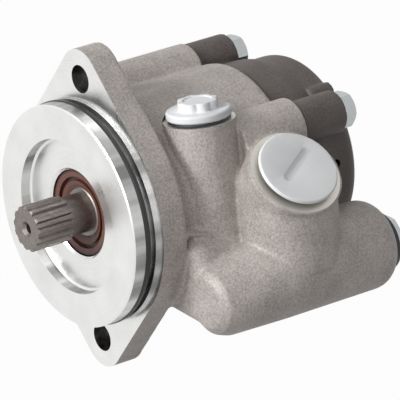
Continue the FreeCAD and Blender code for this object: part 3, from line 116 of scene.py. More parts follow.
class CastingSizes(PropertyGroup):
    """Sizes of the front casting and of its machined places."""

    ear_spacing: length("Ear spacing", 106.4, "Distance between the two ear holes")
    ear_radius: length("Ear radius", 12.0, "Rounding of each ear")
    ear_hole_radius: length("Ear hole radius", 5.65, "Radius of the ear holes")
    flange_radius: length("Flange radius", 47.5, "Radius of the flange between its ears")
    flange_thickness: length("Flange thickness", 11.6, "Thickness of the flange")
    pilot_radius: length("Pilot radius", 44.6, "Radius of the turned pilot")
    pilot_height: length("Pilot height", 11.5, "How far the pilot stands out")
    groove_setback: length("Groove setback", 1.6, "Flange face to the ring's groove")
    groove_width: length("Groove width", 3.6, "Width of the ring's groove")
    groove_depth: length("Groove depth", 3.1, "Depth of the ring's groove")
    recess_radius: length("Recess radius", 31.1, "Radius of the recess in the pilot's face")
    recess_depth: length("Recess depth", 4.75, "Depth of the recess")
    recess_round: length("Recess rounding", 1.5, "Rounding at the foot of the recess wall")
    seal_radius: length("Seal bore radius", 17.5, "Radius of the seal and bearing bore")
    seal_chamfer: length("Seal bore chamfer", 0.85, "Chamfer at the mouth of the seal bore")
    barrel_radius: length("Barrel radius", 41.4, "Radius of the barrel")
    barrel_rear: length("Barrel rear", 71.6, "Flange face to the joint with the cover")
    barrel_round: length("Barrel rounding", 1.9, "Rounded edge of the barrel at the joint")
    chamber_radius: length("Chamber radius", 31.0, "Radius of the pump chamber")
    chamber_floor: length("Chamber floor", 26.0, "Flange face to the chamber's floor")
    boss_radius: length("Boss radius", 11.5, "Radius of the screw bosses")
    boss_circle: length("Boss circle", 43.6, "Distance of the screw bosses from the shaft")
    boss_length: length("Boss length", 29.6, "Length of the short screw bosses")
    screw_circle: length("Screw circle", 45.9, "Distance of the screws from the shaft")
    screw_low: angle("Lower screw angle", 33.1, "First screw, from the valve's side")
    screw_high: angle("Upper screw angle", 132.2, "Second screw, from the valve's side")
    tube_x: length("Tube distance", 57.0, "Shaft to valve tube, sideways")
    tube_z: length("Tube height", -24.7, "Shaft to valve tube, upwards")
    tube_radius: length("Tube radius", 17.9, "Radius of the valve tube")
    tube_rear: length("Tube rear", 94.8, "Flange face to the tube's rear end")
    tube_round: length("Tube rounding", 8.0, "Rounding of the tube's rear end")
    taper_rear: length("Taper rear", 43.0, "Flange face to the tube's full section")
    nose_radius: length("Nose radius", 14.3, "Radius of the tube's tapered nose")
    nose_x: length("Nose distance", 55.5, "Shaft to the nose, sideways")
    nose_z: length("Nose height", -28.7, "Shaft to the nose, upwards")
    foot_z: length("Neck foot", -21.8, "Shaft to the foot of the neck")
    valve_z: length("Valve height", -25.6, "Shaft to the valve's bore, upwards")
    plug_seat_radius: length("Plug seat radius", 12.6, "Machined seat of the hexagon plug")
    turret_x: length("Turret distance", 32.0, "Shaft to pressure port, sideways")
    turret_y: length("Turret depth", 32.0, "Flange face to pressure port")
    turret_top: length("Turret top", 35.7, "Shaft to the pressure port's face")
    turret_radius: length("Turret radius", 14.0, "Radius of the pressure turret")
    turret_tilt: angle("Turret tilt", 4.0, "Lean of the pressure port towards the shaft")
    pressure_bore: length("Pressure bore", 8.25, "Radius of the pressure port")
    elbow_y: length("Elbow depth", 53.0, "Flange face to the suction port")
    elbow_z: length("Elbow height", 8.9, "Shaft to the elbow's middle")
    elbow_lean: angle("Elbow lean", 42.0, "Lean of the suction port outwards")
    elbow_radius: length("Elbow radius", 19.3, "Radius of the suction turret")
    elbow_mouth: length("Elbow mouth", 9.3, "Elbow's middle to the suction port's face")
    suction_bore: length("Suction bore", 12.25, "Radius of the suction port")
    bead_radius: length("Bead radius", 1.1, "Radius of the raised seams of the casting")
    voxel: length("Casting grain", 0.7, "Size of the cells that the raw casting is built from")
    softness: IntProperty(name="Casting softness", description="Smoothing passes on the casting", default=4)


class CoverSizes(PropertyGroup):
    """Sizes of the rear cover."""

    plate_radius: length("Plate radius", 39.5, "Radius of the cover at the joint")
    dome_radius: length("Dome radius", 38.0, "Radius of the cover behind its bosses")
    height: length("Height", 31.9, "Joint to the cover's rear face")
    edge_round: length("Edge rounding", 6.0, "Rounding of the cover's rear edge")
    boss_radius: length("Boss radius", 8.7, "Radius of the cover's screw bosses")
    boss_height: length("Boss height", 19.4, "Joint to the screw seats")
    side_hole: length("Side hole radius", 1.7, "Radius of the small hole in the cover's side")


class CapSizes(PropertyGroup):
    """Sizes of the two port caps."""

    ring_height: length("Ring height", 1.25, "Thickness of the ring under the pressure cap")
    disc_radius: length("Disc radius", 12.85, "Radius of the pressure cap's disc")
    disc_height: length("Disc height", 3.3, "Thickness of the pressure cap's disc")
    knob_radius: length("Knob radius", 8.1, "Radius round the knob's lobes")
    knob_height: length("Knob height", 3.5, "Height of the knob on its disc")
    lobe_radius: length("Lobe radius", 2.9, "Radius of each lobe of the knob")
    flat_radius: length("Flat disc radius", 16.1, "Radius of the suction cap's disc")
    flat_low: length("Flat disc foot", 1.77, "Port face to the suction cap's disc")
    flat_height: length("Flat disc height", 1.8, "Thickness of the suction cap's disc")
    groove_radius: length("Groove radius", 6.0, "Radius of the groove across the suction cap")
    groove_depth: length("Groove depth", 0.3, "Depth of the groove across the suction cap")


class Finishes(PropertyGroup):
    """Colours of the surfaces that show."""

    cast: colour("Housing casting", (0.46, 0.42, 0.395), "Light grey of the sand-cast housing")
    cover: colour("Cover casting", (0.105, 0.088, 0.082), "Dark brown grey of the cast cover")
    machined: colour("Machined face", (0.86, 0.86, 0.85), "Bright turned and milled faces")
    shaft: colour("Shaft steel", (0.24, 0.215, 0.2), "Hardened steel of the shaft")
    zinc: colour("Zinc plating", (0.43, 0.45, 0.46), "Zinc-plated screws and plug")
    cap: colour("White plastic", (0.86, 0.87, 0.89), "Pressure port cap")
    milky: colour("Milky plastic", (0.93, 0.945, 0.96), "Suction port cap")
    seal: colour("Seal rubber", (0.13, 0.045, 0.03), "Brown rubber of the shaft seal")
    ring: colour("Ring rubber", (0.012, 0.012, 0.013), "Black rubber of the rings")
    cap_ring: colour("Cap ring rubber", (0.01, 0.013, 0.022), "Blue black rubber under the caps")


class StageSizes(PropertyGroup):
    """Camera, lamps and floor."""

    distance: length("Camera distance", 1942.394, "Camera to the pilot's middle along the view")
    shift_right: length("Camera right", 42.22, "Camera's place to the right of the pilot")
    shift_up: length("Camera up", 3.609, "Camera's place above the pilot")
    focal: FloatProperty(name="Focal length", description="Lens in mm on a 36 mm sensor", default=450.0)
    floor_size: length("Floor size", 12000.0, "Side of the floor")
    key_power: FloatProperty(name="Key lamp", description="Watts of the main lamp", default=14.0)
    fill_power: FloatProperty(name="Fill lamp", description="Watts of the filling lamp", default=4.0)
    rim_power: FloatProperty(name="Rim lamp", description="Watts of the lamp from behind", default=0.7)
    sky: FloatProperty(name="Sky", description="Strength of the light from all round", default=0.15)


# Mesh helpers

def select_none():
    bpy.ops.object.select_all(action="DESELECT")


def edit_all():
    """Go into edit mode with the whole mesh selected."""
    bpy.ops.object.mode_set(mode="EDIT")
    bpy.ops.mesh.select_all(action="SELECT")


def leave_edit():
    """Turn all faces outwards and leave edit mode."""
    bpy.ops.mesh.select_all(action="SELECT")
    bpy.ops.mesh.normals_make_consistent(inside=False)
    bpy.ops.object.mode_set(mode="OBJECT")


def only(piece):
    """Select one piece and nothing else."""
    select_none()
    piece.select_set(True)
    bpy.context.view_layer.objects.active = piece
    return piece


def named(name):
    """Name the new primitive and put its place into its mesh."""
    piece = bpy.context.object
    piece.name = name
    piece.data.name = name
    only(piece)
    bpy.ops.object.transform_apply(location=True, rotation=True, scale=True)
    return piece


def add_rod(name, radius, start, end, sides=96):
    """A round bar from start to end."""
    select_none()
    run = Vector(end) - Vector(start)
    bpy.ops.mesh.primitive_cylinder_add(
        vertices=sides,
        radius=radius,
        depth=run.length,
        location=Vector(start) + run / 2,
        rotation=run.to_track_quat("Z", "Y").to_euler(),
    )
    return named(name)


def add_ball(name, radius, middle, segments=96):
    """A ball, with half as many rings as segments."""
    select_none()
    rings = segments // 2
    bpy.ops.mesh.primitive_uv_sphere_add(segments=segments, ring_count=rings, radius=radius, location=middle)
    return named(name)


def add_turned(name, profile, base=(0, 0, 0), axis=ALONG_SHAFT, steps=128):
    """Spin a closed profile of (radius, place along the axis) points into a solid."""
    select_none()
    bpy.ops.mesh.primitive_circle_add(vertices=len(profile), radius=MM)
    piece = named(name)
    for vertex, (radius, along) in zip(piece.data.vertices, profile):
        vertex.co = (radius, 0, along)
    edit_all()
    bpy.ops.mesh.spin(steps=steps, angle=2 * math.pi, center=(0, 0, 0), axis=(0, 0, 1))
    bpy.ops.mesh.select_all(action="SELECT")
    bpy.ops.mesh.remove_doubles(threshold=MM / 500)
    leave_edit()
    piece.rotation_euler = Vector(axis).to_track_quat("Z", "Y").to_euler()
    piece.location = base
    bpy.ops.object.transform_apply(location=True, rotation=True, scale=True)
    return piece


def add_prism(name, outline, front, rear):
    """Extrude a closed outline of (x, z) points along the shaft."""
    select_none()
    bpy.ops.mesh.primitive_circle_add(vertices=len(outline), radius=MM, fill_type="NGON")
    piece = named(name)
    for vertex, (x, z) in zip(piece.data.vertices, outline):
        vertex.co = (x, front, z)
    edit_all()
    bpy.ops.mesh.extrude_region_move(TRANSFORM_OT_translate={"value": (0, rear - front, 0)})
    leave_edit()
    return piece


def add_hull(name, rods):
    """The tight skin round several round bars, each given as for add_rod."""
    pieces = [add_rod(f"{name}_{index}", *rod) for index, rod in enumerate(rods)]
    piece = joined(name, pieces)
    edit_all()
    bpy.ops.mesh.convex_hull()
    leave_edit()
    return piece


def joined(name, pieces):
    """Join pieces into one object, shells kept as they are."""
    select_none()
    for piece in pieces:
        piece.select_set(True)
    bpy.context.view_layer.objects.active = pieces[0]
    bpy.ops.object.join()
    result = bpy.context.object
    result.name = name
    result.data.name = name
    return only(result)


def round_edges(piece, chosen, radius, segments=6):
    """Bevel the edges whose two ends pass a test."""
    only(piece)
    bpy.ops.object.mode_set(mode="EDIT")
    bpy.ops.mesh.select_mode(type="EDGE")
    bpy.ops.mesh.select_all(action="DESELECT")
    bpy.ops.object.mode_set(mode="OBJECT")
    places = piece.data.vertices
    for edge in piece.data.edges:
        edge.select = all(chosen(places[index].co) for index in edge.vertices)
    bpy.ops.object.mode_set(mode="EDIT")
    bpy.ops.mesh.bevel(offset=radius, segments=segments, affect="EDGES")
    bpy.ops.object.mode_set(mode="OBJECT")


def modified(piece, kind, **settings):
    """Add a modifier and apply it."""
    only(piece)
    modifier = piece.modifiers.new(kind.lower(), kind)
    for name, value in settings.items():
        setattr(modifier, name, value)
    bpy.ops.object.modifier_apply(modifier=modifier.name)


def cast(piece, voxel, passes, share=0.4):
    """Turn overlapping solids into one soft-edged skin with a share of the faces."""
    modified(piece, "REMESH", mode="VOXEL", voxel_size=voxel)
    modified(piece, "SMOOTH", factor=0.5, iterations=passes)
    modified(piece, "DECIMATE", ratio=share)


def machined(piece, tools):
    """Cut the tools out of a casting; each cut face keeps its tool's finish."""
    group = bpy.data.collections.new(f"{piece.name}_tools")
    bpy.context.scene.collection.children.link(group)
    for tool in tools:
        for other in list(tool.users_collection):
            other.objects.unlink(tool)
        group.objects.link(tool)
    modified(
        piece,
        "BOOLEAN",
        operation="DIFFERENCE",
        operand_type="COLLECTION",
        collection=group,
        solver="EXACT",
        material_mode="TRANSFER",
    )
    for tool in list(group.objects):
        bpy.data.objects.remove(tool)
    bpy.data.collections.remove(group)


def shade(piece, degrees=32):
    """Smooth shading between sharp edges, flat faces kept flat."""
    only(piece)
    bpy.ops.object.shade_smooth_by_angle(angle=math.radians(degrees))
    modified(piece, "WEIGHTED_NORMAL", keep_sharp=True)


def finish_all(piece, finish):
    """Give a whole piece one finish."""
    piece.data.materials.clear()
    piece.data.materials.append(finish)


def finish_walls(piece, face, wall, axis=ALONG_SHAFT):
    """Give the faces across an axis one finish and the walls along it another."""
    finish_all(piece, face)
    piece.data.materials.append(wall)
    for polygon in piece.data.polygons:
        if abs(polygon.normal.dot(axis)) < 0.6:
            polygon.material_index = 1


def dress(node, finish):
    """Give a CAD node's slots a finish."""
    for slot in frame["nodes"][node].material_slots:
        slot.material = finish


# Finishes

class Recipe:
    """A material being mixed: adds nodes and links them."""

    def __init__(self, name):
        self.material = bpy.data.materials.new(name)
        self.material.use_nodes = True
        self.tree = self.material.node_tree
        self.shader = self.tree.nodes["Principled BSDF"]
        self.place = self.add("ShaderNodeTexCoord").outputs["Object"]

    def add(self, kind, inputs=None, **settings):
        """Add a node, with a value or a link for each named input."""
        node = self.tree.nodes.new(kind)
        for name, value in settings.items():
            setattr(node, name, value)
        for name, value in (inputs or {}).items():
            if isinstance(value, bpy.types.NodeSocket):
                self.tree.links.new(value, node.inputs[name])
            else:
                node.inputs[name].default_value = value
        return node

    def noise(self, scale, detail=3.0, roughness=0.6, vector=None):
        vector = vector or self.place
        inputs = {"Vector": vector, "Scale": scale, "Detail": detail, "Roughness": roughness}
        return self.add("ShaderNodeTexNoise", inputs).outputs["Fac"]

    def ramp(self, factor, stops):
        """A colour for each factor, from (place, colour) stops."""
        node = self.add("ShaderNodeValToRGB", {"Fac": factor})
        elements = node.color_ramp.elements
        while len(elements) < len(stops):
            elements.new(0.5)
        for element, (position, rgb) in zip(elements, stops):
            element.position = position
            element.color = (*rgb, 1)
        return node.outputs["Color"]

    def spread(self, factor, low, high):
        """Spread the middle of a noise over a range."""
        inputs = {"Value": factor, "From Min": 0.3, "From Max": 0.7, "To Min": low, "To Max": high}
        return self.add("ShaderNodeMapRange", inputs).outputs["Result"]

    def maths(self, operation, first, second=0.0):
        return self.add("ShaderNodeMath", {0: first, 1: second}, operation=operation).outputs[0]

    def parts(self):
        """The place on the piece as X, Y and Z."""
        return self.add("ShaderNodeSeparateXYZ", {"Vector": self.place}).outputs

    def reach(self, parts):
        """Distance from the shaft's axis."""
        squares = [self.maths("MULTIPLY", parts[name], parts[name]) for name in ("X", "Z")]
        return self.maths("SQRT", self.maths("ADD", *squares))

    def bump(self, height, depth, strength):
        inputs = {"Height": height, "Distance": depth, "Strength": strength}
        return self.add("ShaderNodeBump", inputs).outputs["Normal"]

    def set(self, **values):
        """Set or link the shader's own sockets and return the material."""
        for name, value in values.items():
            socket = self.shader.inputs[name.replace("_", " ")]
            if isinstance(value, bpy.types.NodeSocket):
                self.tree.links.new(value, socket)
            else:
                socket.default_value = value
        return self.material


def scaled(rgb, factor):
    """A darker or lighter colour."""
    return tuple(min(1.0, part * factor) for part in rgb)


def sand_cast(name, rgb, contrast=0.26, depth=0.14):
    """Metal from a sand mould: fine grain over soft mottling."""
    recipe = Recipe(name)
    grain = recipe.noise(1150.0, 3.0, 0.75)
    mottle = recipe.noise(90.0, 3.0, 0.55)
    blend = recipe.maths("ADD", recipe.maths("MULTIPLY", mottle, 0.25), recipe.maths("MULTIPLY", grain, 0.75))
    tone = recipe.ramp(
        blend,
        [(0.4, scaled(rgb, 1 - contrast)), (0.5, rgb), (0.6, scaled(rgb, 1 + contrast))],
    )
    pits = recipe.noise(1000.0, 4.0, 0.75)
    skin = recipe.bump(pits, depth * MM, 0.8)
    return recipe.set(
        Base_Color=tone,
        Metallic=0.25,
        Roughness=recipe.spread(grain, 0.5, 0.68),
        Normal=skin,
    )


def turned_metal(name, rgb, rough=0.24, painted_reflections=False):
    """Metal turned on a lathe: fine rings round the shaft's axis and, where asked for, painted reflections:
    darker stripes in the colour by the turn round the shaft.
    """
    recipe = Recipe(name)
    pitch = 0.35 * MM
    parts = recipe.parts()
    reach = recipe.reach(parts)
    rings = recipe.maths("SINE", recipe.maths("MULTIPLY", reach, 2 * math.pi / pitch))
    along = recipe.add("ShaderNodeCombineXYZ", {"X": reach, "Y": parts["Y"]}).outputs[0]
    lines = recipe.noise(2600.0, 2.0, 0.5, along)
    height = recipe.maths("ADD", rings, recipe.maths("MULTIPLY", lines, 2.0))
    cloud = recipe.noise(70.0, 2.0, 0.5)
    if painted_reflections:
        # Painted reflections: the colour darkens in stripes by the turn round the shaft.
        flat = recipe.add("ShaderNodeCombineXYZ", {"X": parts["X"], "Z": parts["Z"]}).outputs[0]
        outward = recipe.add("ShaderNodeVectorMath", {0: flat}, operation="NORMALIZE").outputs[0]
        reflection_stripes = recipe.noise(2.6, 3.0, 0.55, outward)
        tone = recipe.ramp(reflection_stripes, [(0.36, scaled(rgb, 0.32)), (0.5, scaled(rgb, 0.7)), (0.6, rgb)])
    else:
        mean = recipe.maths("MULTIPLY", recipe.maths("ADD", lines, cloud), 0.5)
        tone = recipe.ramp(mean, [(0.35, scaled(rgb, 0.88)), (0.62, rgb)])
    return recipe.set(
        Base_Color=tone,
        Metallic=1.0,
        Roughness=recipe.spread(cloud, rough, rough + 0.1),
        Normal=recipe.bump(height, 0.002 * MM, 0.35),
    )


def plain_metal(name, rgb, rough=0.3, grain=900.0, contrast=0.08, depth=0.01):
    """Steel with fine marks and uneven gloss."""
    recipe = Recipe(name)
    marks = recipe.noise(grain, 4.0, 0.65)
    tone = recipe.ramp(marks, [(0.35, scaled(rgb, 1 - contrast)), (0.65, scaled(rgb, 1 + contrast))])
    return recipe.set(
        Base_Color=tone,
        Metallic=1.0,
        Roughness=recipe.spread(marks, rough, rough + 0.12),
        Normal=recipe.bump(marks, depth * MM, 0.5),
    )


def rubber(name, rgb, rough=0.42):
    """Smooth rubber with a faint bloom."""
    recipe = Recipe(name)
    bloom = recipe.noise(500.0, 3.0, 0.6)
    tone = recipe.ramp(bloom, [(0.3, scaled(rgb, 0.8)), (0.7, scaled(rgb, 1.3))])
    return recipe.set(
        Base_Color=tone,
        Roughness=recipe.spread(bloom, rough, rough + 0.15),
        Normal=recipe.bump(bloom, 0.02 * MM, 0.3),
    )


def rubber_with_painted_rings(name, rgb, dark_rings):
    """Seal rubber with darker rings at the given radii, in millimetres: painted shade in place of the gaps
    between its lips.
    """
    recipe = Recipe(name)
    widest = 20
    edge = 0.2
    # The darker copy of the rubber's colour is painted shade.
    painted_ring_shade = scaled(rgb, 0.22)
    share = recipe.maths("MULTIPLY", recipe.reach(recipe.parts()), 1 / (widest * MM))
    stops = []
    for inner, outer in dark_rings:
        stops += [((inner - edge) / widest, rgb), (inner / widest, painted_ring_shade)]
        stops += [(outer / widest, painted_ring_shade), ((outer + edge) / widest, rgb)]
    bloom = recipe.noise(500.0, 3.0, 0.6)
    return recipe.set(
        Base_Color=recipe.ramp(share, stops),
        Roughness=recipe.spread(bloom, 0.4, 0.55),
        Normal=recipe.bump(bloom, 0.03 * MM, 0.4),
    )


def moulded_plastic(name, rgb, rough=0.38, weight=0.25):
    """Injection-moulded polythene: soft gloss and light in its thin walls."""
    recipe = Recipe(name)
    flow = recipe.noise(120.0, 2.0, 0.5)
    tone = recipe.ramp(flow, [(0.3, scaled(rgb, 0.96)), (0.7, rgb)])
    fine = recipe.noise(1200.0, 2.0, 0.5)
    return recipe.set(
        Base_Color=tone,
        Roughness=recipe.spread(flow, rough, rough + 0.1),
        Subsurface_Weight=weight,
        Subsurface_Radius=(2.0, 2.0, 2.0),
        Subsurface_Scale=MM,
        Normal=recipe.bump(fine, 0.01 * MM, 0.25),
    )


# Shared directions and places

def pressure_axis(sizes):
    """Direction out of the pressure port."""
    return Vector((-math.sin(sizes.turret_tilt), 0, math.cos(sizes.turret_tilt)))


def suction_axis(sizes):
    """Direction out of the suction port."""
    return Vector((math.sin(sizes.elbow_lean), 0, math.cos(sizes.elbow_lean)))


def pressure_seat(sizes):
    """Middle of the pressure port's face."""
    return Vector((sizes.turret_x, sizes.turret_y, sizes.turret_top))


def suction_middle(sizes):
    """Middle of the elbow's knuckle."""
    return Vector((sizes.tube_x, sizes.elbow_y, sizes.elbow_z))


def screw_angles(sizes):
    """Turns of the four cover screws: two, and the same two half a turn on."""
    low, high = sizes.screw_low, sizes.screw_high
    return (low, high, low + math.pi, high + math.pi)


def round_place(radius, turn, along):
    """A place given by its distance from the shaft's axis, its turn and its place along the shaft."""
    return Vector((radius * math.cos(turn), along, radius * math.sin(turn)))


# Front housing

def raw_housing(sizes):
    """All the lumps of the raw casting, overlapping."""
    flange = sizes.flange_thickness
    rear = sizes.barrel_rear
    half = sizes.ear_spacing / 2
    skin = 2 * MM
    plate = add_hull(
        "flange_plate",
        [
            (sizes.flange_radius, (0, -skin, 0), (0, flange, 0), 192),
            (sizes.ear_radius, (0, -skin, half), (0, flange, half)),
            (sizes.ear_radius, (0, -skin, -half), (0, flange, -half)),
        ],
    )
    pilot_front = (0, -sizes.pilot_height - skin, 0)
    pilot = add_rod("pilot", sizes.flange_radius - MM, pilot_front, (0, 0, 0), 192)
    barrel = add_rod("barrel", sizes.barrel_radius, (0, flange / 2, 0), (0, rear, 0), 192)
    round_edges(barrel, lambda place: place.y > rear - MM / 10, sizes.barrel_round, 4)
    lumps = [plate, pilot, barrel]
    for index, turn in enumerate(screw_angles(sizes)):
        front = flange - MM / 2 if index == 1 else rear - sizes.boss_length
        start = round_place(sizes.boss_circle, turn, front)
        end = round_place(sizes.boss_circle, turn, rear)
        lumps.append(add_rod(f"boss_{index + 1}", sizes.boss_radius, start, end))
    full = sizes.taper_rear
    tube_front = Vector((sizes.tube_x, full, sizes.tube_z))
    tube_end = Vector((sizes.tube_x, sizes.tube_rear, sizes.tube_z))
    tube = add_rod("tube", sizes.tube_radius, tube_front, tube_end, 128)
    round_edges(tube, lambda place: place.y > full + MM, sizes.tube_round, 10)
    lumps.append(tube)
    tip = Vector((sizes.nose_x, flange, sizes.nose_z))
    taper = [(sizes.tube_radius, tube_front, tube_front + ALONG_SHAFT * MM, 128)]
    for less, start, end in NOSE_STEPS:
        radius = sizes.nose_radius - less * MM
        taper.append((radius, tip + ALONG_SHAFT * start * MM, tip + ALONG_SHAFT * end * MM))
    lumps.append(add_hull("tube_taper", taper))
    lumps.append(raw_web(sizes))
    down = pressure_axis(sizes) * -50 * MM
    seat = pressure_seat(sizes) + pressure_axis(sizes) * MM
    lumps.append(add_rod("pressure_turret", sizes.turret_radius, seat + down, seat))
    middle = suction_middle(sizes)
    foot = Vector((sizes.tube_x, sizes.elbow_y, sizes.foot_z))
    lumps.append(add_rod("neck", sizes.elbow_radius, foot, middle))
    lumps += seam_beads(sizes)
    lumps.append(add_ball("knuckle", sizes.elbow_radius, middle))
    mouth = middle + suction_axis(sizes) * (sizes.elbow_mouth + 0.15 * MM)
    lumps.append(add_rod("mouth", sizes.elbow_radius, middle, mouth))
    return lumps


def seam_beads(sizes):
    """Raised seams where the neck and the turret rise from the shoulder."""
    start_height = -2.4 * MM
    line = [Vector((sizes.turret_x + sizes.turret_radius, sizes.flange_thickness, start_height))]
    for turn, height in SEAM_PLACES:
        place = round_place(1, math.radians(turn), 0) * sizes.elbow_radius
        line.append(Vector((sizes.tube_x + place.x, sizes.elbow_y + place.z, height * MM)))
    beads = []
    for index, (start, end) in enumerate(zip(line, line[1:])):
        beads.append(add_rod(f"seam_{index}", sizes.bead_radius, start, end, 24))
        beads.append(add_ball(f"seam_joint_{index}", sizes.bead_radius, end, 24))
    return beads


def raw_web(sizes):
    """Web between the barrel and the valve tube, with a rounded front shoulder."""
    outline = [
        (14.0, -3.0),
        (42.0, -3.0),
        (50.0, -9.0),
        (sizes.tube_x / MM, sizes.tube_z / MM),
        (54.0, -41.2),
        (40.0, -38.6),
        (24.0, -33.4),
    ]
    front = sizes.flange_thickness
    web = add_prism("web", [(x * MM, z * MM) for x, z in outline], front, sizes.barrel_rear)
    inner = 38 * MM
    round_edges(
        web,
        lambda place: place.y < front + MM / 10 and place.x > inner,
        sizes.tube_round * 0.8,
        8,
    )
    return web


def housing_tools(sizes, face, wall, bore, seat):
    """Everything that is turned, drilled and milled in the front casting."""
    far = 90 * MM
    proud = sizes.pilot_height
    floor = sizes.recess_depth - proud
    pilot = sizes.pilot_radius
    groove_rear = -sizes.groove_setback
    groove_front = groove_rear - sizes.groove_width
    groove = pilot - sizes.groove_depth
    chamfer = 0.5 * MM
    raised = 0.35 * MM
    over = 5 * MM
    outside = add_turned(
        "pilot_turning",
        [
            (pilot - chamfer, -proud - over),
            (pilot - chamfer, -proud),
            (pilot, -proud + chamfer),
            (pilot, groove_front),
            (groove, groove_front),
            (groove, groove_rear),
            (pilot, groove_rear),
            (pilot, groove_rear / 2),
            (pilot + raised, groove_rear / 2),
            (pilot + raised, 0),
            (far, 0),
            (far, -proud - over),
        ],
        steps=256,
    )
    corner = sizes.recess_round
    seal = sizes.seal_radius
    bearing_rear = 14.45 * MM
    passage = 10 * MM
    bend = [
        (
            sizes.recess_radius - corner + corner * math.cos(step * math.pi / 12),
            floor - corner + corner * math.sin(step * math.pi / 12),
        )
        for step in range(7)
    ]
    inside = add_turned(
        "front_turning",
        [
            (0, -proud - over),
            (pilot - chamfer + MM, -proud - over),
            (pilot - chamfer + MM, -proud),
            (sizes.recess_radius, -proud),
            *bend,
            (seal + sizes.seal_chamfer, floor),
            (seal, floor + sizes.seal_chamfer),
            (seal, bearing_rear),
            (passage, bearing_rear),
            (passage, sizes.chamber_floor),
            (sizes.chamber_radius, sizes.chamber_floor),
            (sizes.chamber_radius, sizes.barrel_rear + over),
            (0, sizes.barrel_rear + over),
        ],
        steps=256,
    )
    for tool in (outside, inside):
        finish_walls(tool, face, wall)
    half = sizes.ear_spacing / 2
    screw_reach = 24 * MM
    thread = 4.05 * MM
    tools = []
    for side, height in (("upper", half), ("lower", -half)):
        end = (0, sizes.flange_thickness + over, height)
        tools.append(add_rod(f"ear_hole_{side}", sizes.ear_hole_radius, (0, -over, height), end))
    for index, turn in enumerate(screw_angles(sizes)):
        start = round_place(sizes.screw_circle, turn, sizes.barrel_rear - screw_reach)
        end = round_place(sizes.screw_circle, turn, sizes.barrel_rear + over)
        tools.append(add_rod(f"screw_hole_{index}", thread, start, end, 48))
    # The ear and screw holes take the near-black bore finish: painted shade.
    for tool in tools:
        finish_all(tool, bore)
    ports = port_tools(sizes)
    for tool, axis in zip(ports, (pressure_axis(sizes), suction_axis(sizes), ALONG_SHAFT)):
        finish_walls(tool, seat, bore, axis)
    return [outside, inside, *tools, *ports]


def port_tools(sizes):
    """Spot faces and threads of the two ports and of the valve plug."""
    over = 0.5 * MM
    narrow = 0.8 * MM
    out = suction_axis(sizes)
    mouth = suction_middle(sizes) + out * sizes.elbow_mouth
    tools = []
    for name, bore, depth, wide, high, seat, axis in (
        ("pressure_turning", sizes.pressure_bore, 12 * MM, sizes.turret_radius + over,
         sizes.turret_radius, pressure_seat(sizes), pressure_axis(sizes)),
        ("suction_turning", sizes.suction_bore, 15 * MM, sizes.elbow_radius - narrow,
         sizes.elbow_radius, mouth, out),
    ):
        profile = [
            (0, -depth),
            (bore - MM, -depth),
            (bore, MM - depth),
            (bore, 0),
            (wide, 0),
            (wide, high),
            (0, high),
        ]
        tools.append(add_turned(name, profile, seat, axis))
    valve_front = 17.5 * MM
    thread_front = 82 * MM
    spool_bore = 8.05 * MM
    thread = 10.05 * MM
    seat = sizes.tube_rear - 0.2 * MM
    clear = sizes.tube_rear + 6 * MM
    valve = [
        (0, valve_front),
        (spool_bore, valve_front),
        (spool_bore, thread_front),
        (thread, thread_front),
        (thread, seat),
        (sizes.plug_seat_radius, seat),
        (sizes.plug_seat_radius, clear),
        (0, clear),
    ]
    tools.append(add_turned("plug_turning", valve, (sizes.tube_x, 0, sizes.valve_z)))
    return tools


class PUMP_OT_front_housing(Operator):
    """Build the front casting with its machined faces, in place of the plain one"""

    bl_idname = "pump.front_housing"
    bl_label = "Front housing"

    def execute(self, context):
        sizes = context.scene.pump_casting
        finishes = context.scene.pump_finishes
        rough = sand_cast("housing_casting", tuple(finishes.cast))
        face = turned_metal("housing_faced", tuple(finishes.machined))
        # The turned walls take a darker copy of the machined colour, which is painted shade, with painted
        # reflections in stripes.
        wall = turned_metal("housing_turned", scaled(finishes.machined, 0.8), 0.3, painted_reflections=True)
        # The bores, holes and port walls take a near-black colour: painted shade in the holes.
        bore = plain_metal("housing_bores", (0.09, 0.085, 0.08), 0.45, 300.0, 0.5, 0.03)
        seat = turned_metal("housing_seats", (0.62, 0.59, 0.54), 0.42)
        casting = joined("front_housing_casting", raw_housing(sizes))
        cast(casting, sizes.voxel, sizes.softness)
        finish_all(casting, rough)
        machined(casting, housing_tools(sizes, face, wall, bore, seat))
        shade(casting)
        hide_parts("front_housing")
        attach(casting, "housing")
        return {"FINISHED"}


# Rear cover

def raw_cover(casting, cover):
    """All the lumps of the raw cover, overlapping."""
    joint = casting.barrel_rear
    rear = joint + cover.height
    seat = joint + cover.boss_height
    dome = add_turned(
        "dome",
        [
            (0, joint),
            (cover.plate_radius, joint),
            (cover.plate_radius, seat - cover.edge_round),
            (cover.dome_radius, seat),
            (cover.dome_radius, rear),
            (0, rear),
        ],
    )
    rim = cover.dome_radius - MM / 10
    round_edges(
        dome,
        lambda place: place.y > rear - MM / 10 and math.hypot(place.x, place.z) > rim,
        cover.edge_round,
        8,
    )
    lumps = [dome]
    for index, turn in enumerate(screw_angles(casting)):
        start = round_place(casting.screw_circle, turn, joint)
        end = round_place(casting.screw_circle, turn, seat + MM)
        lumps.append(add_rod(f"cover_boss_{index + 1}", cover.boss_radius, start, end))
    pad_turn = math.radians(50)
    pad_radius = 4 * MM
    inset = 2 * MM
    start = round_place(cover.dome_radius - inset, pad_turn, seat)
    end = round_place(cover.dome_radius - inset, pad_turn, rear - inset)
    lumps.append(add_rod("rim_pad", pad_radius, start, end))
    return lumps


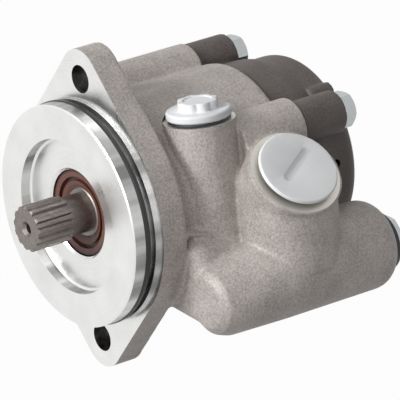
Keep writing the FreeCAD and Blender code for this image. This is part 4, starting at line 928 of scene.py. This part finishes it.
def cover_tools(casting, cover, bore):
    """The screws' holes and seats, and the small hole in the cover's side."""
    joint = casting.barrel_rear
    seat = joint + cover.boss_height
    over = 3 * MM
    clearance = 4.5 * MM
    rim = 0.9 * MM
    room = 14 * MM
    tools = []
    for index, turn in enumerate(screw_angles(casting)):
        start = round_place(casting.screw_circle, turn, joint - over)
        end = round_place(casting.screw_circle, turn, seat + over)
        tools.append(add_rod(f"bolt_hole_{index}", clearance, start, end, 48))
        face = round_place(casting.screw_circle, turn, seat)
        top = round_place(casting.screw_circle, turn, seat + room)
        tools.append(add_rod(f"bolt_seat_{index}", cover.boss_radius - rim, face, top, 64))
    mouth = Vector((cover.dome_radius, seat + MM, 2 * cover.side_hole))
    inside = mouth - Vector((5 * MM, 0, 0))
    outside = mouth + Vector((over, 0, 0))
    tools.append(add_rod("side_hole", cover.side_hole, inside, outside, 32))
    # The holes and seats take the near-black bore finish: painted shade.
    for tool in tools:
        finish_all(tool, bore)
    return tools


class PUMP_OT_rear_cover(Operator):
    """Build the cast rear cover, in place of the plain one"""

    bl_idname = "pump.rear_cover"
    bl_label = "Rear cover"

    def execute(self, context):
        casting = context.scene.pump_casting
        cover = context.scene.pump_cover
        finishes = context.scene.pump_finishes
        rough = sand_cast("cover_casting", tuple(finishes.cover), 0.3, 0.12)
        # The cover's holes and screw seats take a near-black colour: painted shade.
        bore = plain_metal("cover_bores", (0.05, 0.048, 0.045), 0.45, 300.0, 0.5, 0.03)
        piece = joined("rear_cover_casting", raw_cover(casting, cover))
        cast(piece, casting.voxel, casting.softness)
        finish_all(piece, rough)
        machined(piece, cover_tools(casting, cover, bore))
        shade(piece)
        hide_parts("rear_cover")
        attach(piece, "housing")
        return {"FINISHED"}


# Fasteners, caps, shaft and seal

def hexagon_plug(sizes):
    """Hexagon screw plug with a chamfered crown and its thread stem."""
    foot = sizes.tube_rear
    top = foot + 6 * MM
    flats = 19 * MM
    corner = flats / math.sqrt(3)
    stem_radius = 9.95 * MM
    stem_front = 82.2 * MM
    crown_radius = 9.3 * MM
    slope_radius = 12 * MM
    slope = 1.6 * MM
    clear = 14 * MM
    middle = (sizes.tube_x, 0, sizes.valve_z)
    profile = [(0, foot), (corner, foot), (corner, top), (0, top)]
    head = add_turned("valve_plug_head", profile, middle, steps=6)
    cut = [
        (crown_radius, top + MM),
        (crown_radius, top),
        (slope_radius, top - slope),
        (clear, top - slope),
        (clear, top + MM),
    ]
    machined(head, [add_turned("plug_chamfer", cut, middle)])
    start = (sizes.tube_x, stem_front, sizes.valve_z)
    stem = add_rod("plug_stem", stem_radius, start, (sizes.tube_x, foot + MM / 2, sizes.valve_z))
    return joined("hexagon_plug", [head, stem])


class PUMP_OT_fasteners(Operator):
    """Plate the cover screws and washers with zinc, and build the plated valve plug"""

    bl_idname = "pump.fasteners"
    bl_label = "Screws and plug"

    def execute(self, context):
        rgb = tuple(context.scene.pump_finishes.zinc)
        zinc = plain_metal("zinc_plating", rgb, 0.2, 500.0, 0.06, 0.006)
        for node in ("cover_bolts", "cover_bolt_washers"):
            dress(node, zinc)
        plug = hexagon_plug(context.scene.pump_casting)
        finish_all(plug, zinc)
        shade(plug)
        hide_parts("valve_plug")
        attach(plug, "housing")
        return {"FINISHED"}


def cap_profile(bore, wide, low, high, corner):
    """Half section of a cap: a plug in the bore under a disc with chamfered edges."""
    plug = bore - 0.12 * MM
    end = -8 * MM
    return [
        (0, end),
        (plug, end),
        (plug, low),
        (wide - corner, low),
        (wide, low + corner),
        (wide, high - corner),
        (wide - corner, high),
        (0, high),
    ]


def pressure_cap(sizes, caps):
    """White transport cap: disc, lobed knob with a dished top, and the plug in the port."""
    seat = pressure_seat(sizes)
    axis = pressure_axis(sizes)
    low = caps.ring_height
    high = low + caps.disc_height
    corner = 0.6 * MM
    profile = cap_profile(sizes.pressure_bore, caps.disc_radius, low, high, corner)
    disc = add_turned("cap_disc", profile, seat, axis)
    top = seat + axis * (high + caps.knob_height)
    foot = seat + axis * (high - corner)
    across = axis.cross(ALONG_SHAFT)
    lobe_circle = caps.knob_radius - caps.lobe_radius
    core_inset = 1.3 * MM
    rim = 2.4 * MM
    dish_depth = 0.4 * MM
    first_turn = 0.35
    parts = [disc, add_rod("knob", caps.knob_radius - core_inset, foot, top)]
    for index in range(8):
        turn = (index + first_turn) * math.pi / 4
        aside = (ALONG_SHAFT * math.sin(turn) + across * math.cos(turn)) * lobe_circle
        parts.append(add_rod(f"lobe_{index}", caps.lobe_radius, foot + aside, top + aside, 48))
    piece = joined("pressure_cap_moulding", parts)
    cast(piece, 0.3 * MM, 2, 0.5)
    start = top - axis * dish_depth
    dish = add_rod("knob_dish", caps.knob_radius - rim, start, top + axis * 2 * MM, 64)
    return piece, [dish]


def suction_cap(sizes, caps):
    """Milky transport cap: flat disc with a soft groove across, and the plug in the port."""
    axis = suction_axis(sizes)
    seat = suction_middle(sizes) + axis * sizes.elbow_mouth
    low = caps.flat_low
    high = low + caps.flat_height
    profile = cap_profile(sizes.suction_bore, caps.flat_radius, low, high, 0.5 * MM)
    piece = add_turned("suction_cap_moulding", profile, seat, axis, 192)
    outward = Vector((axis.z, 0, -axis.x))
    rearward, inward = 14.9, 8.75
    off_middle = 1.5 * MM
    along = (ALONG_SHAFT * rearward - outward * inward).normalized()
    middle = seat + axis * (high + caps.groove_radius - caps.groove_depth) - outward * off_middle
    half = along * 8 * MM
    tools = [add_rod("cap_groove", caps.groove_radius, middle - half, middle + half, 64)]
    for end in (middle - half, middle + half):
        tools.append(add_ball("cap_groove_end", caps.groove_radius, end, 48))
    return piece, tools


def cap_ring(name, inner, outer, height, seat, axis):
    """Flat seal ring between a cap and the port's face."""
    gap = 0.04 * MM
    top = height - gap
    belly = outer + 0.2 * MM
    profile = [(inner, gap), (outer, gap), (belly, height / 2), (outer, top), (inner, top)]
    return add_turned(name, profile, seat, axis)


class PUMP_OT_caps(Operator):
    """Build the two port caps with their plastic and rubber, in place of the plain ones"""

    bl_idname = "pump.caps"
    bl_label = "Port caps"

    def execute(self, context):
        finishes = context.scene.pump_finishes
        sizes = context.scene.pump_casting
        caps = context.scene.pump_caps
        white = moulded_plastic("white_cap", tuple(finishes.cap))
        milky = moulded_plastic("milky_cap", tuple(finishes.milky), 0.3, 0.5)
        dark = rubber("cap_ring_rubber", tuple(finishes.cap_ring))
        # The groove across the suction cap takes a darker copy of the milky plastic: painted shade.
        painted_groove_shade = moulded_plastic("milky_cap_hollow", scaled(finishes.milky, 0.78), 0.3, 0.5)
        for node, build, plastic, shaded, slot in (
            ("pressure_port_cap", pressure_cap, white, white, "white_plastic"),
            ("suction_port_cap", suction_cap, milky, painted_groove_shade, "clear_plastic"),
        ):
            piece, tools = build(sizes, caps)
            finish_all(piece, plastic)
            for tool in tools:
                finish_all(tool, shaded)
            machined(piece, tools)
            shade(piece)
            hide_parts(node)
            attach(piece, "housing")
        ring = cap_ring(
            "pressure_ring",
            sizes.pressure_bore,
            caps.disc_radius - 0.7 * MM,
            caps.ring_height,
            pressure_seat(sizes),
            pressure_axis(sizes),
        )
        finish_all(ring, dark)
        shade(ring)
        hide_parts("pressure_cap_ring")
        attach(ring, "housing")
        dress("suction_cap_ring", dark)
        return {"FINISHED"}


class PUMP_OT_shaft(Operator):
    """Finish the drive shaft, its seal and the rubber rings"""

    bl_idname = "pump.shaft"
    bl_label = "Shaft and seal"

    def execute(self, context):
        finishes = context.scene.pump_finishes
        steel = plain_metal("shaft_steel", tuple(finishes.shaft), 0.36, 700.0, 0.14, 0.02)
        dress("drive_shaft", steel)
        # The seal's darker rings are painted shade.
        dress("shaft_seal", rubber_with_painted_rings("seal_rubber", tuple(finishes.seal), SEAL_RINGS))
        black = rubber("ring_rubber", tuple(finishes.ring), 0.36)
        for node in ("pilot_o_ring", "cover_o_ring", "valve_plug_ring"):
            dress(node, black)
        return {"FINISHED"}


class PUMP_OT_inner_parts(Operator):
    """Finish the bearing, the vane cartridge and the control valve inside"""

    bl_idname = "pump.inner_parts"
    bl_label = "Inner parts"

    def execute(self, context):
        ground = plain_metal("ground_steel", (0.62, 0.62, 0.61), 0.2, 1500.0, 0.05, 0.005)
        spring = plain_metal("spring_steel", (0.3, 0.3, 0.31), 0.3, 900.0, 0.1, 0.01)
        bronze = plain_metal("bush_bronze", (0.62, 0.4, 0.18), 0.3, 700.0, 0.12, 0.02)
        ground_nodes = ["bearing_outer_ring", "bearing_inner_ring", "bearing_balls", "rotor", "cam_ring"]
        ground_nodes += ["front_side_plate", "rear_side_plate", "dowel_pins", "valve_spool"]
        ground_nodes += [f"vane_{index}" for index in range(1, 11)]
        for node in ground_nodes:
            dress(node, ground)
        spring_nodes = ("bearing_cage", "bearing_circlip", "shaft_circlip", "seal_garter_spring")
        for node in spring_nodes + ("plate_spring", "valve_spring"):
            dress(node, spring)
        dress("rear_bush", bronze)
        return {"FINISHED"}


# Stage

# The directions in which the camera of the photograph looks, has its right side and has its top
VIEW_FORWARD = Vector((-0.77339, 0.54352, -0.32629))
VIEW_RIGHT = Vector((0.59407, 0.80102, -0.07378))
VIEW_UP = Vector((-0.22126, 0.25090, 0.94239))


def add_camera(stage):
    """A long lens in the place from which the photograph was taken."""
    select_none()
    aside = VIEW_RIGHT * stage.shift_right
    place = VIEW_FORWARD * -stage.distance + aside + VIEW_UP * stage.shift_up
    bpy.ops.object.camera_add(location=place)
    camera = bpy.context.object
    camera.name = "photo_camera"
    turn = Matrix((VIEW_RIGHT, VIEW_UP, -VIEW_FORWARD)).transposed()
    camera.rotation_euler = turn.to_euler()
    camera.data.sensor_width = 36
    camera.data.lens = stage.focal
    camera.data.clip_end = 30
    bpy.context.scene.camera = camera


def add_lamp(name, power, size, direction, distance=1.3):
    """A square soft lamp that shines on the object's middle from a direction."""
    select_none()
    away = Vector(direction).normalized()
    middle = Vector((0.02, 0.035, 0))
    bpy.ops.object.light_add(type="AREA", location=middle + away * distance)
    lamp = bpy.context.object
    lamp.name = name
    lamp.rotation_euler = away.to_track_quat("Z", "Y").to_euler()
    lamp.data.energy = power
    lamp.data.size = size


def add_floor(stage):
    """White paper that glows for the eye and for gloss, and still takes the shadow."""
    gap = 0.3 * MM
    low = cad_box[0][2]
    select_none()
    bpy.ops.mesh.primitive_plane_add(size=stage.floor_size, location=(0, 0, low - gap))
    floor = named("floor")
    recipe = Recipe("floor_paper")
    recipe.set(Base_Color=(0.24, 0.24, 0.24, 1), Roughness=0.9)
    light = recipe.add("ShaderNodeLightPath").outputs
    bounced = recipe.maths("MAXIMUM", light["Is Glossy Ray"], light["Is Transmission Ray"])
    seen = recipe.maths("MAXIMUM", light["Is Camera Ray"], bounced)
    glow = recipe.add("ShaderNodeEmission", {"Color": (1, 1, 1, 1), "Strength": 1.0})
    share = recipe.maths("MULTIPLY", seen, 0.975)
    paper, white = recipe.shader.outputs[0], glow.outputs[0]
    blend = recipe.add("ShaderNodeMixShader", {"Fac": share, 1: paper, 2: white})
    output = next(node for node in recipe.tree.nodes if node.type == "OUTPUT_MATERIAL")
    recipe.tree.links.new(blend.outputs[0], output.inputs["Surface"])
    finish_all(floor, recipe.material)


def set_sky(stage):
    """White to the eye and to gloss, softer as light."""
    world = bpy.data.worlds.new("studio")
    bpy.context.scene.world = world
    world.use_nodes = True
    tree = world.node_tree
    back = tree.nodes["Background"]
    light = tree.nodes.new("ShaderNodeLightPath")
    shown = tree.nodes.new("ShaderNodeMath")
    shown.operation = "MAXIMUM"
    tree.links.new(light.outputs["Is Camera Ray"], shown.inputs[0])
    tree.links.new(light.outputs["Is Glossy Ray"], shown.inputs[1])
    strength = tree.nodes.new("ShaderNodeMapRange")
    strength.inputs["To Min"].default_value = stage.sky
    strength.inputs["To Max"].default_value = 1.0
    tree.links.new(shown.outputs[0], strength.inputs["Value"])
    tree.links.new(strength.outputs["Result"], back.inputs["Strength"])
    back.inputs["Color"].default_value = (1, 1, 1, 1)


class PUMP_OT_stage(Operator):
    """Set up the floor, the soft lamps, the sky and the camera"""

    bl_idname = "pump.stage"
    bl_label = "Stage"

    def execute(self, context):
        stage = context.scene.pump_stage
        context.scene.view_settings.view_transform = "Standard"
        add_camera(stage)
        add_floor(stage)
        set_sky(stage)
        for name, power, size, direction in LAMPS:
            add_lamp(name, getattr(stage, power), size, direction)
        return {"FINISHED"}


class PUMP_PT_panel(Panel):
    """Lists the pump's pieces in the sidebar"""

    bl_label = "Power steering pump"
    bl_idname = "PUMP_PT_panel"
    bl_space_type = "VIEW_3D"
    bl_region_type = "UI"
    bl_category = "Pump"

    def draw(self, context):
        for operator in OPERATORS:
            self.layout.operator(operator.bl_idname)
        for group in SETTINGS:
            owner = getattr(context.scene, group)
            column = self.layout.column()
            for name in owner.bl_rna.properties.keys():
                if name not in ("rna_type", "name"):
                    column.prop(owner, name)


OPERATORS = (
    PUMP_OT_front_housing,
    PUMP_OT_rear_cover,
    PUMP_OT_fasteners,
    PUMP_OT_caps,
    PUMP_OT_shaft,
    PUMP_OT_inner_parts,
    PUMP_OT_stage,
)
SETTINGS = {
    "pump_casting": CastingSizes,
    "pump_cover": CoverSizes,
    "pump_caps": CapSizes,
    "pump_finishes": Finishes,
    "pump_stage": StageSizes,
}


def register():
    for kind in (*SETTINGS.values(), *OPERATORS, PUMP_PT_panel):
        bpy.utils.register_class(kind)
    for name, group in SETTINGS.items():
        setattr(bpy.types.Scene, name, PointerProperty(type=group))


def unregister():
    for name in SETTINGS:
        delattr(bpy.types.Scene, name)
    for kind in (PUMP_PT_panel, *OPERATORS[::-1], *SETTINGS.values()):
        bpy.utils.unregister_class(kind)


def main():
    register()
    bpy.ops.pump.stage()
    bpy.ops.pump.front_housing()
    bpy.ops.pump.rear_cover()
    bpy.ops.pump.fasteners()
    bpy.ops.pump.caps()
    bpy.ops.pump.shaft()
    bpy.ops.pump.inner_parts()


if __name__ == "__main__":
    main()
